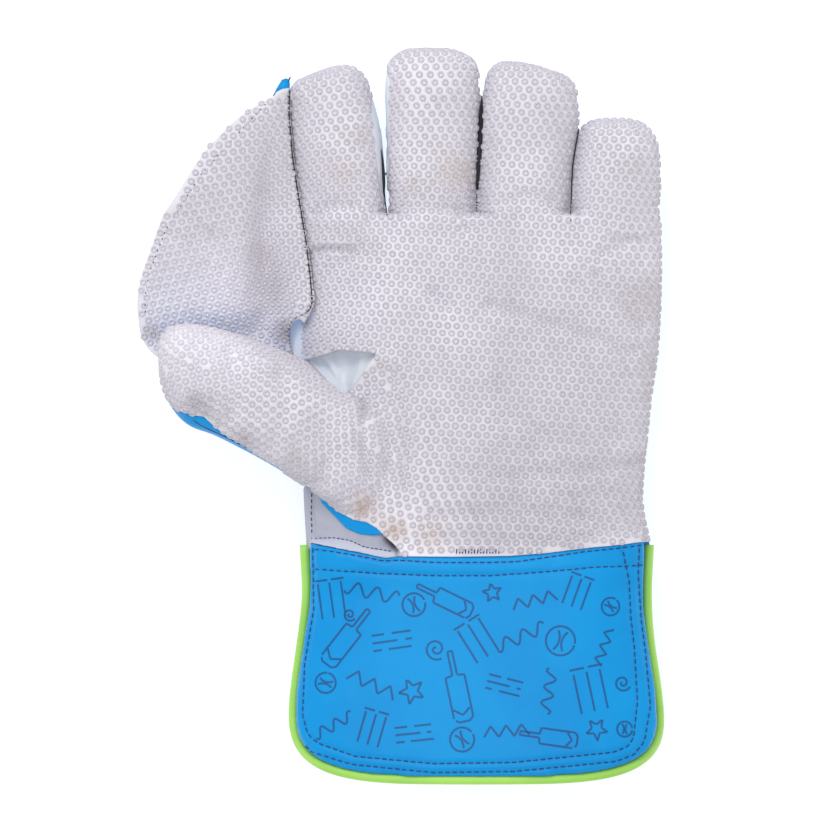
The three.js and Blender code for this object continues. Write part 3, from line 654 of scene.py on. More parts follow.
def facingField(points):  # height above the seam between the facing and the backs
    x, y, z = points.T
    seam = seamAt(points, glove["seamShare"])
    away = x - gapX(0, y)
    onIndex, onMiddle = np.interp(y, besideIndex, raisedIndex), np.interp(y, besideMiddle, raisedMiddle)
    raised = np.where(away < 0, onIndex, onMiddle)
    onFingers = smoothStep(glove["palmLength"] - 2, glove["palmLength"] + 8, y)
    for k in (1, 2):
        raised = raised - drops["gap"] * np.exp(-((x - gapX(k, y)) / 9) ** 4)
    nearGap = np.exp(-(away / 12) ** 4)
    raised = raised * np.where(x < gapX(0, y) + 13, nearGap, 1)
    seam = seam + onFingers * (raised - drops["farFinger"] * (1 - nearGap))
    tipY = np.select([away < 0, x < gapX(1, y), x < gapX(2, y)], fingerTips[:3], fingerTips[3])
    seam = seam - drops["tip"] * smoothStep(tipY - 16, tipY - 6, y)
    # beside the web it runs down the side of the finger and the palm
    besideWeb = smoothStep(fingerMiddle(0) - 2, fingerMiddle(0) - 12, x)
    seam = seam - drops["side"] * besideWeb * smoothStep(80, 92, y)
    thumbLow, thumbHigh = thumbAt(points, 5), thumbAt(points, 4)
    edge = thumbLow + glove["seamShare"] * (thumbHigh - thumbLow)
    across = y - thumbAt(points, 1)
    lower = smoothStep(-4, -12, across)
    upper = smoothStep(4, 12, across) * smoothStep(-58, -48, x)
    edge = edge + lower * np.interp(x, underThumb, raisedThumb) - drops["overThumb"] * upper
    share = isThumb(points)
    return z - (seam * (1 - share) + edge * share)


def outerSheet(*fields):  # the part of the skin where every field is above zero
    points, triangles = skinPoints, skinTriangles
    for field in fields:
        points, triangles = cutAway(points, triangles, field(points))
    return largestBody(points, triangles)


def offHole(points, lowest, spare=0):  # outside the thumb's opening, on the front alone
    return np.where(points[:, 2] > lowest, outsideOf(points, thumbHole) - spare, 5)


# Rubber facing over palm, fingers and thumb
facingPoints, facingTriangles = outerSheet(
    lambda p: facingField(p) - 0.15,
    lambda p: p[:, 1] - cuffTopAt(p[:, 0]),
    lambda p: outsideOf(p, wristEdge),
    lambda p: offHole(p, 20),
    offOpenGap,
)
facingPoints = overCuff(facingPoints, 0.8)
facing = meshObject("palmFacing", facingPoints, facingTriangles)
modify(facing, "DECIMATE", ratio=glove["facingKept"])
thicken(facing, glove["facingThick"])
fit(facing, "facing", "palm_facing", "thumb_facing", *[f"{name}_facing" for name in fingerNames])
print("facing:", len(facing.data.polygons), "faces")

# Backs: the other half of the skin, thick and padded
back = dict(clothVoxel=2.4, pressure=3, swell=1.2, fill=0.6, offBand=0.3, offRoot=0.4, offGap=0.15,
            gussetDrop=20.4, thumbFloor=22)
backs = []


def padded(name, node, points, triangles, thick):
    piece = meshObject(name, points, triangles)
    thicken(piece, thick)
    puff(piece, back["clothVoxel"], back["pressure"], back["swell"])
    modify(piece, "SMOOTH", factor=0.5, iterations=2)
    fit(piece, "blue_leather", node)
    backs.append(piece)


def bandField(points):  # above zero within the strips between the fingers
    lowest = seamAt(points, glove["fourchetteShare"])
    return np.minimum(points[:, 2] - lowest, -facingField(points))


def gapOf(points, k):
    return np.minimum(points[:, 0] - fingerMiddle(k), fingerMiddle(k + 1) - points[:, 0])


def besideGap(points, k):  # above zero where fourchette k lies
    along = 65 if k == 0 else min(fingerLengths[k], fingerLengths[k + 1]) * 0.84
    reach = glove["palmLength"] + along
    span = np.minimum(points[:, 1] - glove["palmLength"] * 0.94, reach - points[:, 1])
    return np.minimum(np.minimum(span, gapOf(points, k)), bandField(points))


def offBands(points):
    return -np.max([besideGap(points, k) for k in range(3)], axis=0) - back["offBand"]


def underSeam(points):
    return -facingField(points) - glove["sheetGap"]


def besideWrist(points):  # the soft gusset runs down the side there
    return smoothStep(31, 28.5, points[:, 1]) * smoothStep(30, 14, points[:, 0])


root = glove["rootLine"]
points, triangles = outerSheet(
    lambda p: underSeam(p) - back["gussetDrop"] * besideWrist(p),
    lambda p: root - back["offRoot"] - p[:, 1],
    lambda p: p[:, 1] - 0.4,
    lambda p: p[:, 0] + 0.6 + 2.8 * smoothStep(70, 76, p[:, 1]),
    offBands,
    lambda p: offHole(p, 15, 1),
)
padded("handBack", "hand_back", points, triangles, glove["backThick"])
points, triangles = outerSheet(underSeam, lambda p: -0.2 - p[:, 0], lambda p: p[:, 2] - back["thumbFloor"])
below = smoothStep(0, -5, facingField(points)) * smoothStep(-2, -12, points[:, 1] - thumbAt(points, 1))
points[:, 1] -= 2.2 * np.exp(-((points[:, 0] + 48.5) / 8) ** 2) * below  # bulges under the thumb
padded("thumbBack", "thumb_back", points, triangles, glove["thumbThick"])
for k, name in enumerate(fingerNames):
    points, triangles = outerSheet(
        underSeam,
        lambda p: p[:, 1] - root - back["offRoot"],
        lambda p: (p[:, 0] - gapX(k - 1, p[:, 1]) if k else p[:, 0] + 15) - back["offGap"],
        lambda p: (gapX(k, p[:, 1]) - p[:, 0] if k < 3 else 170 - p[:, 0]) - back["offGap"],
        offBands,
        offOpenGap,
    )
    padded(f"{name}Back", f"{name}_back", points, triangles, glove["fingerThick"])
print("backs done")

# Pale strips between the fingers
strips = []
for k in range(3):
    points, triangles = outerSheet(lambda p: besideGap(p, k), offOpenGap)
    strip = meshObject(f"{fingerNames[k]}Fourchette", points, triangles)
    thicken(strip, glove["fourchetteThick"])
    strips.append(fit(strip, "pale_leather", f"fourchette_{fingerNames[k]}_{fingerNames[k + 1]}"))

# Dark sheets deep in the gaps between the fingers, painted shade where only shadow shows
gapShadeSheet = dict(thick=0.4, steps=40, above=1.1, smoothing=4)
gapShadeRows = [  # centre line on the grid, half widths
    ([(381.6, 150), (382.8, 162), (383.4, 174), (383.7, 184), (383.9, 192), (385.2, 202), (387.2, 216)],
     [0.3, 1.3, 1.9, 1.9, 1.3, 0.7, 0.6]),
    ([(481.8, 97), (481.2, 110), (480.6, 130), (479.3, 152), (478.2, 170), (477.2, 190)],
     [0.3, 1.9, 3, 2.5, 1.9, 1.2]),
    ([(578.6, 130), (575.2, 148), (572.4, 167), (571.3, 190), (570.2, 222)],
     [0.6, 0.7, 0.6, 0.6, 0.3]),
]
gapShadeSheets = []
for name, (line, widths) in zip(fingerNames, gapShadeRows):
    at = np.linspace(0, 1, gapShadeSheet["steps"])
    along = np.linspace(0, 1, len(line))
    path = resampled(traced(line), along, at)
    widths = np.interp(at, along, np.array(widths) * plan["step"])
    grid = []
    for (x, y), half in zip(path, widths):
        z = float(seamAt(np.array([[0, y, 0]]), 0.5)[0]) - 3
        spot, _ = plumb(skinTree, x, y)
        if spot is not None:
            z = max(z, spot.z + gapShadeSheet["above"])
        grid += [(x + side * half, y, z) for side in (-1, 1)]
    grid = np.array(grid)
    for _ in range(gapShadeSheet["smoothing"]):
        grid[2:-2, 2] = (grid[:-4, 2] + 2 * grid[2:-2, 2] + grid[4:, 2]) / 4
    faces = [(2 * r, 2 * r + 1, 2 * r + 3, 2 * r + 2) for r in range(gapShadeSheet["steps"] - 1)]
    piece = meshObject(f"{name}GapShade", grid, faces)
    thicken(piece, gapShadeSheet["thick"])
    gapShadeSheets.append(fit(piece, "pale_leather"))
print("fourchettes done")

# Web between index finger and thumb
webSeamLine = traced([row[:2] for row in webRows[:7]])[::-1]
web = dict(thick=2.0, backThick=1.3, gap=0.25, steps=60, edgeRoll=0.9, offSeam=4.5,
           laidX=-14, laidY=96)  # beyond these it lies on the index finger


def webSheet(drop):
    rows = smoothRows(webRows, 9)
    t = np.linspace(0, 1, web["steps"] + 1)
    grid = []
    for seamX, seamY, edgeX, edgeY, seamZ, midZ, edgeZ, dip in rows:
        seam = traced([(seamX, seamY)])[0]
        far = glove["palmLength"] + edgeY * (glove["fingerLength"] if edgeY > 0 else glove["palmLength"])
        bulge = (midZ - (seamZ + edgeZ) / 2) * 4 * t * (1 - t)
        hollow = dip * np.exp(-((t - 0.27) / 0.1) ** 2)
        z = (seamZ * (1 - t) + edgeZ * t + bulge - hollow) * glove["palmDepth"]
        z = z - web["edgeRoll"] * smoothStep(0.95, 1, t)
        x = (seam[0] + 0.6) * (1 - t) - edgeX * glove["webReach"] * t
        y = seam[1] * (1 - t) + far * t
        for k in range(len(t)):
            if x[k] > web["laidX"] and y[k] > web["laidY"]:
                spot, _ = plumb(skinTree, x[k], y[k])
                if spot is not None:
                    z[k] = max(z[k], spot.z + 0.1 + 0.8 * smoothStep(0, 0.035, t[k]))
        grid.append(np.stack([x, y, z - drop], 1))
    grid = np.array(grid)
    for _ in range(3):
        z = grid[:, :, 2]
        around = z[:-2, 1:-1] + z[2:, 1:-1] + z[1:-1, :-2] + z[1:-1, 2:]
        grid[1:-1, 1:-1, 2] = z[1:-1, 1:-1] * 0.5 + around / 8
    return grid.reshape(-1, 3), gridFaces(*grid.shape[:2])


def offSkin(points):  # distance outside the hand's skin
    away = np.empty(len(points))
    for k, p in enumerate(points):
        spot, normal, _, gap = skinTree.find_nearest(Vector(p))
        away[k] = gap if (Vector(p) - spot).dot(normal) > 0 else -gap
    return away


def webPiece(name, drop, thick, node, slot):
    points, triangles = webSheet(drop)
    laid = (points[:, 0] > web["laidX"]) & (points[:, 1] > web["laidY"])
    points, triangles = cutAway(points, triangles, np.where(laid, 1, offSkin(points) - 0.25))
    points, triangles = cutAway(points, triangles, outsideOf(points, crescent))
    if drop:
        points, triangles = cutAway(points, triangles, distanceTo(points, webSeamLine) - web["offSeam"])
    points, triangles = largestBody(points, triangles)
    piece = meshObject(name, points, triangles)
    if normalsOf(piece)[:, 2].mean() < 0:
        triangles = triangles[:, ::-1]
        bpy.data.objects.remove(piece)
        piece = meshObject(name, points, triangles)
    thicken(piece, thick)
    return fit(piece, slot, node), points, triangles


webFacing, webPoints, webTriangles = webPiece("webFacing", 0, web["thick"], "web_facing", "facing")
webBacking, _, _ = webPiece("webBacking", web["thick"] + web["gap"], web["backThick"], "web_backing",
                            "blue_leather")
corner = traced([(273.5, 97), (278.5, 90), (283, 81.6), (286.6, 80.2), (289.2, 81), (289.6, 86),
                 (289.2, 92)])
points = np.column_stack([corner, np.full(len(corner), 47.5)])
points = np.vstack([points, points.mean(0) + (0, 0, 0.8)])
webTab = meshObject("webTab", points, [(k, (k + 1) % 7, 7) for k in range(7)][::-1])
thicken(webTab, 1.2)
fit(webTab, "blue_leather")
print("web done")

# Cups of the rubber facing: raised rings in close-packed rows
cup = dict(pitch=3.93, row=0.845, sides=8, rim=1.2, apart=0.72, settled=0.97, reach=1.7, levelled=2.2,
           sunk=0.15)
# radius, height, share of the darker ring colour, which is painted shade on the cups' slopes
cupProfile = np.array([(1.68, -0.15, 0.05), (1.47, 0.5, 0.5), (1.2, 0.8, 0.95), (0.95, 0.76, 0.9),
                       (0.66, 0.14, 0.35), (0, 0.02, 0)])


class CupField:  # where the cups stand, kept apart by a grid
    def __init__(self):
        self.cells, self.places, self.normals = {}, [], []

    def key(self, p):
        return tuple(int(math.floor(c / cup["pitch"])) for c in p)

    def close(self, p, apart):
        a, b, c = self.key(p)
        span = range(-1, 2) if apart <= cup["pitch"] else range(-2, 3)
        return [q for i in span for j in span for k in span
                for q in self.cells.get((a + i, b + j, c + k), ()) if (self.places[q] - p).length < apart]

    def add(self, p, n):
        self.cells.setdefault(self.key(p), []).append(len(self.places))
        self.places.append(p)
        self.normals.append(n)

    def move(self, k, p, n):
        self.cells[self.key(self.places[k])].remove(k)
        self.cells.setdefault(self.key(p), []).append(k)
        self.places[k], self.normals[k] = p, n

    def part(self, chosen):
        made = CupField()
        for p, n in zip(self.places, self.normals):
            if chosen(p):
                made.add(p, n)
        return made


def rimTree(points, triangles):
    edges = np.sort(np.vstack([triangles[:, [0, 1]], triangles[:, [1, 2]], triangles[:, [2, 0]]]), 1)
    pairs, counts = np.unique(edges, axis=0, return_counts=True)
    rim = pairs[counts == 1]
    return nearestTree(points[rim].mean(1))


def alongRow(angle, n):  # the direction of a row on a surface with this normal
    along = Vector((math.cos(angle), math.sin(angle), 0))
    up = Vector((-along.y, along.x, 0))
    made = up.cross(n) + along - along.dot(n) * n
    return made.normalized()


def neighbours(p, n, angle):
    along = alongRow(angle, n)
    across = n.cross(along)
    for a, b in ((1, 0), (0.5, 1), (-0.5, 1), (-1, 0), (-0.5, -1), (0.5, -1)):
        yield p + (along * a + across * b * cup["row"]) * cup["pitch"]


def growCups(surface, rim, seed, angleAt, cups, allowed=lambda p: True):
    p, n, _, _ = surface.find_nearest(Vector(seed))
    cups.add(p, n)
    waiting = [len(cups.places) - 1]
    while waiting:
        current = waiting.pop(0)
        p, n = cups.places[current], cups.normals[current]
        for q in neighbours(p, n, angleAt(p)):
            guesses = [q]
            for other in cups.close(q, 1.45 * cup["pitch"]):
                r, m = cups.places[other], cups.normals[other]
                if other != current and m.dot(n) > 0.3:
                    guess = min(neighbours(r, m, angleAt(r)), key=lambda g: (g - q).length)
                    if (guess - q).length < 0.4 * cup["pitch"]:
                        guesses.append(guess)
            q = sum(guesses, Vector()) / len(guesses)
            spot, m, _, gap = surface.find_nearest(q)
            if gap > cup["reach"] or m.dot(n) < -0.2 or (spot - p).length < 0.6 * cup["pitch"]:
                continue
            if not allowed(spot) or rim.find(spot)[2] < cup["rim"]:
                continue
            if not cups.close(spot, cup["apart"] * cup["pitch"]):
                cups.add(spot, m)
                waiting.append(len(cups.places) - 1)


def settleCups(surface, rim, cups, rounds=8):  # crowded cups move apart, into the gaps beside them
    apart = cup["settled"] * cup["pitch"]
    for _ in range(rounds):
        for k, p in enumerate(cups.places):
            push = Vector()
            for other in cups.close(p, apart):
                if other != k:
                    away = p - cups.places[other]
                    push += away * ((apart - away.length) / max(away.length, 0.1) * 0.4)
            if push.length > 0.05:
                spot, n, _, _ = surface.find_nearest(p + push)
                if rim.find(spot)[2] > cup["rim"] * 0.9:
                    cups.move(k, spot, n)


def fillCups(points, triangles, surface, rim, cups, allowed=lambda p: True, spare=0.8):  # into bare spots
    for p in points[np.unique(triangles)]:
        spot = Vector(p)
        if allowed(spot) and rim.find(spot)[2] > cup["rim"] and not cups.close(spot, spare * cup["pitch"]):
            spot, n, _, _ = surface.find_nearest(spot)
            cups.add(spot, n)


facingTree, facingRim = treeOf(facingPoints, facingTriangles), rimTree(facingPoints, facingTriangles)
split = traced([(376, 350), (392, 385), (402, 430), (405, 490), (403, 560)])
splitX, splitY = split[::-1, 0], split[::-1, 1]
spineX, spineY = thumbByX[:, 0], thumbByX[:, 1]
rowTurns = [7, -1, -3, -3]  # of the rows on the four fingers, in degrees


def besideThumb(p, blend=3):  # how far a place lies on the thumb's side of the palm
    if p.y > splitY[-1] + 4:
        return 0
    across = smoothStep(blend, -blend, p.x - np.interp(p.y, splitY, splitX))
    return float(across * smoothStep(4, -4, p.y - splitY[-1]))


def share(x):
    return min(1, max(0, x))


def facingAngle(p):  # direction of the rows: palm, fingers, and along the thumb
    turn = -3.5
    if p.y > glove["palmLength"] - 14:
        middles = [fingerMiddle(k) for k in range(4)]
        onFingers = share((p.y - glove["palmLength"] + 14) / 34)
        turn += onFingers * (np.interp(p.x, middles, rowTurns) - turn)
    elif p.x < fingerMiddle(0):
        turn += 6 * (1 - p.x / fingerMiddle(0)) * share((p.y - 85) / 30)
    beside = besideThumb(p, 18)
    if beside:
        x = min(max(p.x, -50), 55)
        slope = (np.interp(x + 4, spineX, spineY) - np.interp(x - 4, spineX, spineY)) / 8
        steep = share((p.x + 5) / 45)
        onThumb = math.degrees(math.atan(slope * (1 - steep) - 0.66 * steep))
        turn += beside * (onThumb - turn)
    return math.radians(turn)


def offWeb(p):  # false where the web lies over the facing
    if not 100 < p.y < 204:
        return True
    return p.x > np.interp(p.y, webSeamLine[:, 1], webSeamLine[:, 0]) + 1.3


facingCups, webCups = CupField(), CupField()
growCups(facingTree, facingRim, (*traced([(500, 360)])[0], 60), facingAngle, facingCups, offWeb)
for spare, rounds in ((0.8, 8), (0.75, 6), (0.7, 6)):
    fillCups(facingPoints, facingTriangles, facingTree, facingRim, facingCups, offWeb, spare)
    settleCups(facingTree, facingRim, facingCups, rounds)
palmCups = facingCups.part(lambda p: p.y <= glove["palmLength"] and besideThumb(p) < 0.5)
fingerCups = facingCups.part(lambda p: p.y > glove["palmLength"])
thumbCups = facingCups.part(lambda p: p.y <= glove["palmLength"] and besideThumb(p) >= 0.5)
print("cups of palm, fingers and thumb:", *(len(c.places) for c in (palmCups, fingerCups, thumbCups)))

webTree, webRim = treeOf(webPoints, webTriangles), rimTree(webPoints, webTriangles)


def webAngle(p):
    return math.radians(1 + 15 * (share((172 - p.y) / 60) * share((-3 - p.x) / 18)))


growCups(webTree, webRim, (*traced([(225, 240)])[0], 60), webAngle, webCups)
fillCups(webPoints, webTriangles, webTree, webRim, webCups)
settleCups(webTree, webRim, webCups)
print("web cups:", len(webCups.places))


def cupPiece(name, cups, surface, seed):
    rng = np.random.default_rng(seed)
    sides = cup["sides"]
    angle = 2 * np.pi * np.arange(sides) / sides
    radius, height, shade = cupProfile[:-1].T
    _, middleHeight, middleShade = cupProfile[-1]
    points, shades, faces = [], [], []
    rings = len(radius)
    form = tubeFaces(rings, sides)[:-2]
    top, under = rings * sides, rings * sides + 1
    for k in range(sides):
        n = (k + 1) % sides
        form.append(((rings - 1) * sides + k, (rings - 1) * sides + n, top))
        form.append((n, k, under))
    for count, (place, normal) in enumerate(zip(cups.places, cups.normals)):
        near = surface.find_nearest_range(place, cup["levelled"])
        if near:
            normal = sum((hit[1] for hit in near), Vector()).normalized()
        side = normal.orthogonal().normalized()
        n, t = np.array(normal), np.array(side)
        b = np.cross(n, t)
        size = rng.uniform(0.95, 1.04)
        tall = rng.uniform(0.8, 1.05)
        turn = rng.uniform(0, 6.28)
        ring = np.cos(angle + turn)[:, None] * t + np.sin(angle + turn)[:, None] * b
        body = np.array(place) + (radius[:, None, None] * size * ring[None]
                                  + height[:, None, None] * tall * n).reshape(-1, 3)
        centre = np.array(place) + n * middleHeight * tall
        points += [body, centre[None], (np.array(place) - cup["sunk"] * n)[None]]
        tone = rng.uniform(-0.12, 0.12)
        shades += [np.repeat(shade, sides) + tone * (np.repeat(shade, sides) > 0.5), [middleShade, 0.1]]
        faces += [tuple(i + count * (under + 1) for i in face) for face in form]
    piece = meshObject(name, np.vstack(points), faces)
    setShade(piece, "cupShade", np.concatenate(shades))
    return fit(piece, "facing")


cupPieces = [
    cupPiece("palmCups", palmCups, facingTree, 1), cupPiece("fingerCups", fingerCups, facingTree, 2),
    cupPiece("thumbCups", thumbCups, facingTree, 3), cupPiece("webCups", webCups, webTree, 4),
]
print("cups done")

# Soft leather in the two openings
gusset = dict(thick=1.3, sunk=3.2, sag=6.8, steps=60)
gussetFolds = [  # line on the grid, half width, height
    ([(321, 356), (331, 366), (338, 378), (342, 392)], 1.1, 2.4),
    ([(306, 361), (322, 368), (336, 382)], 1.6, -2.2),
    ([(350, 352), (348, 366), (341, 380)], 1.8, -1.2),
    ([(362, 353), (359, 368), (353, 384)], 1.3, 2.0),
    ([(336, 354), (338, 364)], 1.5, 1.2),
]


def thumbGusset():
    corners = traced([(282, 404), (384, 312)])
    xs = np.linspace(corners[0][0], corners[1][0], gusset["steps"] + 1)
    ys = np.linspace(corners[0][1], corners[1][1], gusset["steps"] + 1)
    grid = []
    for y in ys:
        section = np.array([np.interp(y, palm[:, 1], palm[:, c]) for c in range(6)])
        top = surfaceAt(section, forms["palm"], np.maximum(xs, 5)) - 0.4 * np.maximum(0, 5 - xs)
        grid.append(np.stack([xs, np.full_like(xs, y), top - gusset["sunk"]], 1))
    points = np.array(grid).reshape(-1, 3)
    within = smoothStep(2.5, -7, outsideOf(points, thumbHole))
    folds = np.zeros(len(points))
    for line, width, height in gussetFolds:
        folds += height * np.exp(-(distanceTo(points, traced(line)) / width) ** 2)
    points[:, 2] += within * (folds - gusset["sag"])
    faces = gridFaces(len(ys), len(xs))
    hidden = np.minimum(outsideOf(points, thumbHole) - 3, outsideOf(points, crescent) - 1.5)
    points, faces = largestBody(*cutAway(points, faces, -hidden))
    piece = meshObject("thumbGusset", points, faces)
    thicken(piece, gusset["thick"])
    return fit(piece, "pale_leather", "thumb_gusset")


thumbSoft = thumbGusset()
wristArea = traced([(270, 474), (305, 472), (321, 489), (340, 503), (368, 515), (389, 530), (406, 545),
                    (408, 585), (280, 585)])
points, triangles = outerSheet(
    lambda p: -outsideOf(p, wristArea),
    lambda p: p[:, 1] - np.where(p[:, 2] < 30, -8, cuffTopAt(p[:, 0])),  # low down it runs into the cuff
    lambda p: p[:, 2] - seamAt(p, glove["seamShare"]) + 20 * besideWrist(p) - 0.2,
)
wristSoft = meshObject("wristGusset", points, triangles)
place, normal = pointsOf(wristSoft), normalsOf(wristSoft)
front = smoothStep(0.1, 0.55, normal[:, 2])
fold = -1.3 + 1.1 * np.exp(-((place[:, 0] - 2.3) / 1.3) ** 2)
fold -= 0.7 * np.exp(-((place[:, 0] - 4.5) / 0.6) ** 2)
fold += 0.3 * np.sin((place[:, 0] + 0.7 * place[:, 1]) / 2.2)
fold -= 3.2 * np.exp(-(distanceTo(place, traced([(388, 541), (394, 546)])) / 2.4) ** 2)
tuck = 1.5 * smoothStep(-2, 0.5, outsideOf(place, wristEdge))  # under its neighbours
tuck += 1.2 * smoothStep(1, -1, place[:, 1]) * (place[:, 2] < 30)
place = overCuff(place + normal * (fold * front - tuck)[:, None], 0.4)
setPoints(wristSoft, place)
stripLine = traced([(300, 538.5), (334.7, 537.8), (350, 540.3), (365.3, 546.8), (392, 551), (404, 552)])
overStrip = place[:, 1] - np.interp(place[:, 0], stripLine[:, 0], stripLine[:, 1])
setShade(wristSoft, "lowerStrip", smoothStep(0.3, -0.3, overStrip) * (place[:, 2] > 30))
# the pocket under the facing's corner is painted near black as shadow
pocketShadowEdge = traced([(383.6, 535.6), (389, 538), (395, 543), (399.6, 549.6), (399, 555), (396, 556.4),
                     (394.6, 552), (391, 548.4), (387.6, 544)])
setShade(wristSoft, "pocketShadow", smoothStep(0.8, -1.6, outsideOf(place, pocketShadowEdge)))
thicken(wristSoft, glove["wristThick"])
fit(wristSoft, "grey_leather", "wrist_gusset")
ballStrip = traced([(316, 492), (321, 503), (332.8, 514.8), (346, 528), (359.6, 534), (373, 535.2),
                    (384, 533.6), (394, 533), (380, 519), (367, 512), (350, 507), (335, 498)])
points, triangles = outerSheet(lambda p: -outsideOf(p, ballStrip), lambda p: p[:, 2] - 25)
thumbBase = meshObject("thumbBase", points, triangles)
setPoints(thumbBase, pointsOf(thumbBase) - 0.55 * normalsOf(thumbBase))
thicken(thumbBase, glove["stripThick"])
fit(thumbBase, "blue_leather")
print("gussets done")


# Piping round the cuff
def cuffSectionAt(y):
    rows = np.array(cuffRows)
    along = np.clip(-y / glove["cuffLength"], 0, 1)
    width, middle, front = (np.interp(along, rows[:, 0], rows[:, c]) for c in (1, 2, 3))
    return np.array([middle * palmWidth, y, 0, width * glove["cuffWidth"], front * glove["cuffDepth"],
                     -glove["footPress"]])


def cuffOutline(takenIn, sideSteps=12, mouthSteps=60):  # x, y, and how far round the mouth
    corner = -0.6 * glove["cuffLength"]
    sides = []
    for k in range(-1, sideSteps):
        y = corner * k / sideSteps if k >= 0 else 2.2
        s = cuffSectionAt(y)
        sides.append([(s[0] - s[3] / 2 + takenIn, y, 0), (s[0] + s[3] / 2 - takenIn, y, 0)])
    made = [left for left, _ in sides]
    for k in range(mouthSteps + 1):
        angle = math.pi * (1 - k / mouthSteps)
        across = math.copysign(abs(math.cos(angle)) ** 0.5, math.cos(angle))
        y = corner
        if 0 < k < mouthSteps:
            y -= math.sin(angle) ** 0.5 * (glove["cuffLength"] + corner - takenIn)
        s = cuffSectionAt(y)
        made.append((s[0] + across * (s[3] / 2 - takenIn), y, math.sin(angle)))
    return np.array(made + [right for _, right in sides[::-1]])


def tube(name, path, width, count=12, smooth=3):
    path = np.asarray(path, float)
    for _ in range(smooth):
        path[1:-1] = (path[:-2] + 2 * path[1:-1] + path[2:]) / 4
    length = lengthAlong(path)
    steps = max(3, int(length[-1] / (width * 0.45)))
    path = resampled(path, length, np.linspace(0, length[-1], steps))
    points = []
    for k in range(steps):
        ahead = path[min(k + 1, steps - 1)] - path[max(k - 1, 0)]
        ahead /= np.linalg.norm(ahead)
        side = np.cross((0, 0, 1), ahead)
        side /= np.linalg.norm(side)
        up = np.cross(ahead, side)
        for j in range(count):
            angle = 2 * math.pi * j / count
            points.append(path[k] + width / 2 * (side * math.cos(angle) + up * math.sin(angle)))
    return meshObject(name, points, tubeFaces(steps, count))


cuffSeam = glove["cuffDepth"] * 0.93 / 2
path = []
for x, y, around in cuffOutline(glove["pipingWidth"] / 2 + 0.5):
    climb = float(smoothStep(0, 0.75, around))
    edge = float(surfaceAt(cuffSectionAt(y), forms["cuff"], np.array(x))) - glove["pipingWidth"] * 0.75
    path.append((x, y - 0.3, cuffSeam + climb * (edge - cuffSeam)))
cuffPiping = fit(tube("cuffPiping", path, glove["pipingWidth"]), "lime_piping", "cuff_piping")
start = math.sin(math.radians(36))  # the back's piping is sewn to the mouth alone
path = []
for x, y, around in cuffOutline(glove["pipingWidth"] / 2):
    if around > start:
        edge = float(surfaceAt(cuffSectionAt(y), forms["cuff"], np.array(x), -1))
        path.append((x, y, max(glove["pipingWidth"] / 2 + 0.3, edge + glove["pipingWidth"] * 0.75)))
mouthPiping = fit(tube("mouthPiping", path, glove["pipingWidth"]), "lime_piping", "mouth_piping")
print("piping done")


# Stitches: one small pill copied along a line that lies on a surface
def droppedLine(surface, line, pitch):
    line = traced(line) if not isinstance(line, np.ndarray) else line
    length = lengthAlong(line)
    at = np.arange(pitch / 2, length[-1], pitch)
    made = []
    for x, y in zip(np.interp(at, length, line[:, 0]), np.interp(at, length, line[:, 1])):
        spot, normal = plumb(surface, x, y)
        if spot is not None:
            made.append((np.array(spot), np.array(normal)))
    return made


pill = dict(rings=[(-0.5, 0.35), (-0.3, 0.95), (0.3, 0.95), (0.5, 0.35)], sides=6)  # along, fatness


def pills(name, runs, length, width, tall, turn=0.0, slot="blue_leather"):
    points, faces = [], []
    rings, sides = pill["rings"], pill["sides"]
    for run in runs:
        for k, (spot, normal) in enumerate(run):
            ahead = run[min(k + 1, len(run) - 1)][0] - run[max(k - 1, 0)][0]
            ahead = ahead / max(np.linalg.norm(ahead), 1e-6)
            side = np.cross(normal, ahead)
            side /= max(np.linalg.norm(side), 1e-6)
            ahead = ahead * math.cos(turn) + side * math.sin(turn)
            side = np.cross(normal, ahead)
            faces += tubeFaces(len(rings), sides, len(points))
            for along, fat in rings:
                for j in range(sides):
                    angle = 2 * math.pi * j / sides
                    points.append(spot + ahead * along * length + side * math.cos(angle) * fat * width / 2
                                  + normal * (tall * 0.35 + math.sin(angle) * fat * tall / 2))
    return fit(meshObject(name, points, faces), slot)


cuffRuns = [droppedLine(cuffTree, line, 3.1) for line in stitchLines.values()]
cuffStitches = pills("cuffStitches", cuffRuns, 2.3, 0.55, 0.5)


def ribbons(name, strokes, width, lift):  # flat strokes laid on the cuff
    points, faces = [], []
    for stroke in strokes:
        run = droppedLine(cuffTree, stroke, 0.9)
        if len(run) < 3:
            continue
        faces += tubeFaces(len(run), 4, len(points))
        for k, (spot, normal) in enumerate(run):
            ahead = run[min(k + 1, len(run) - 1)][0] - run[max(k - 1, 0)][0]
            side = np.cross(normal, ahead)
            side = side / max(np.linalg.norm(side), 1e-6) * width / 2
            points += [spot - side + normal * lift, spot + side + normal * lift,
                       spot + side - normal * 0.2, spot - side - normal * 0.2]
    return fit(meshObject(name, points, faces, smooth=False), "blue_leather")


def arc(x, y, radius, start, end, tall=1.0):
    angle = np.radians(np.linspace(start, end, 20))
    return [(x + radius * math.cos(a), y + tall * radius * math.sin(a)) for a in angle]


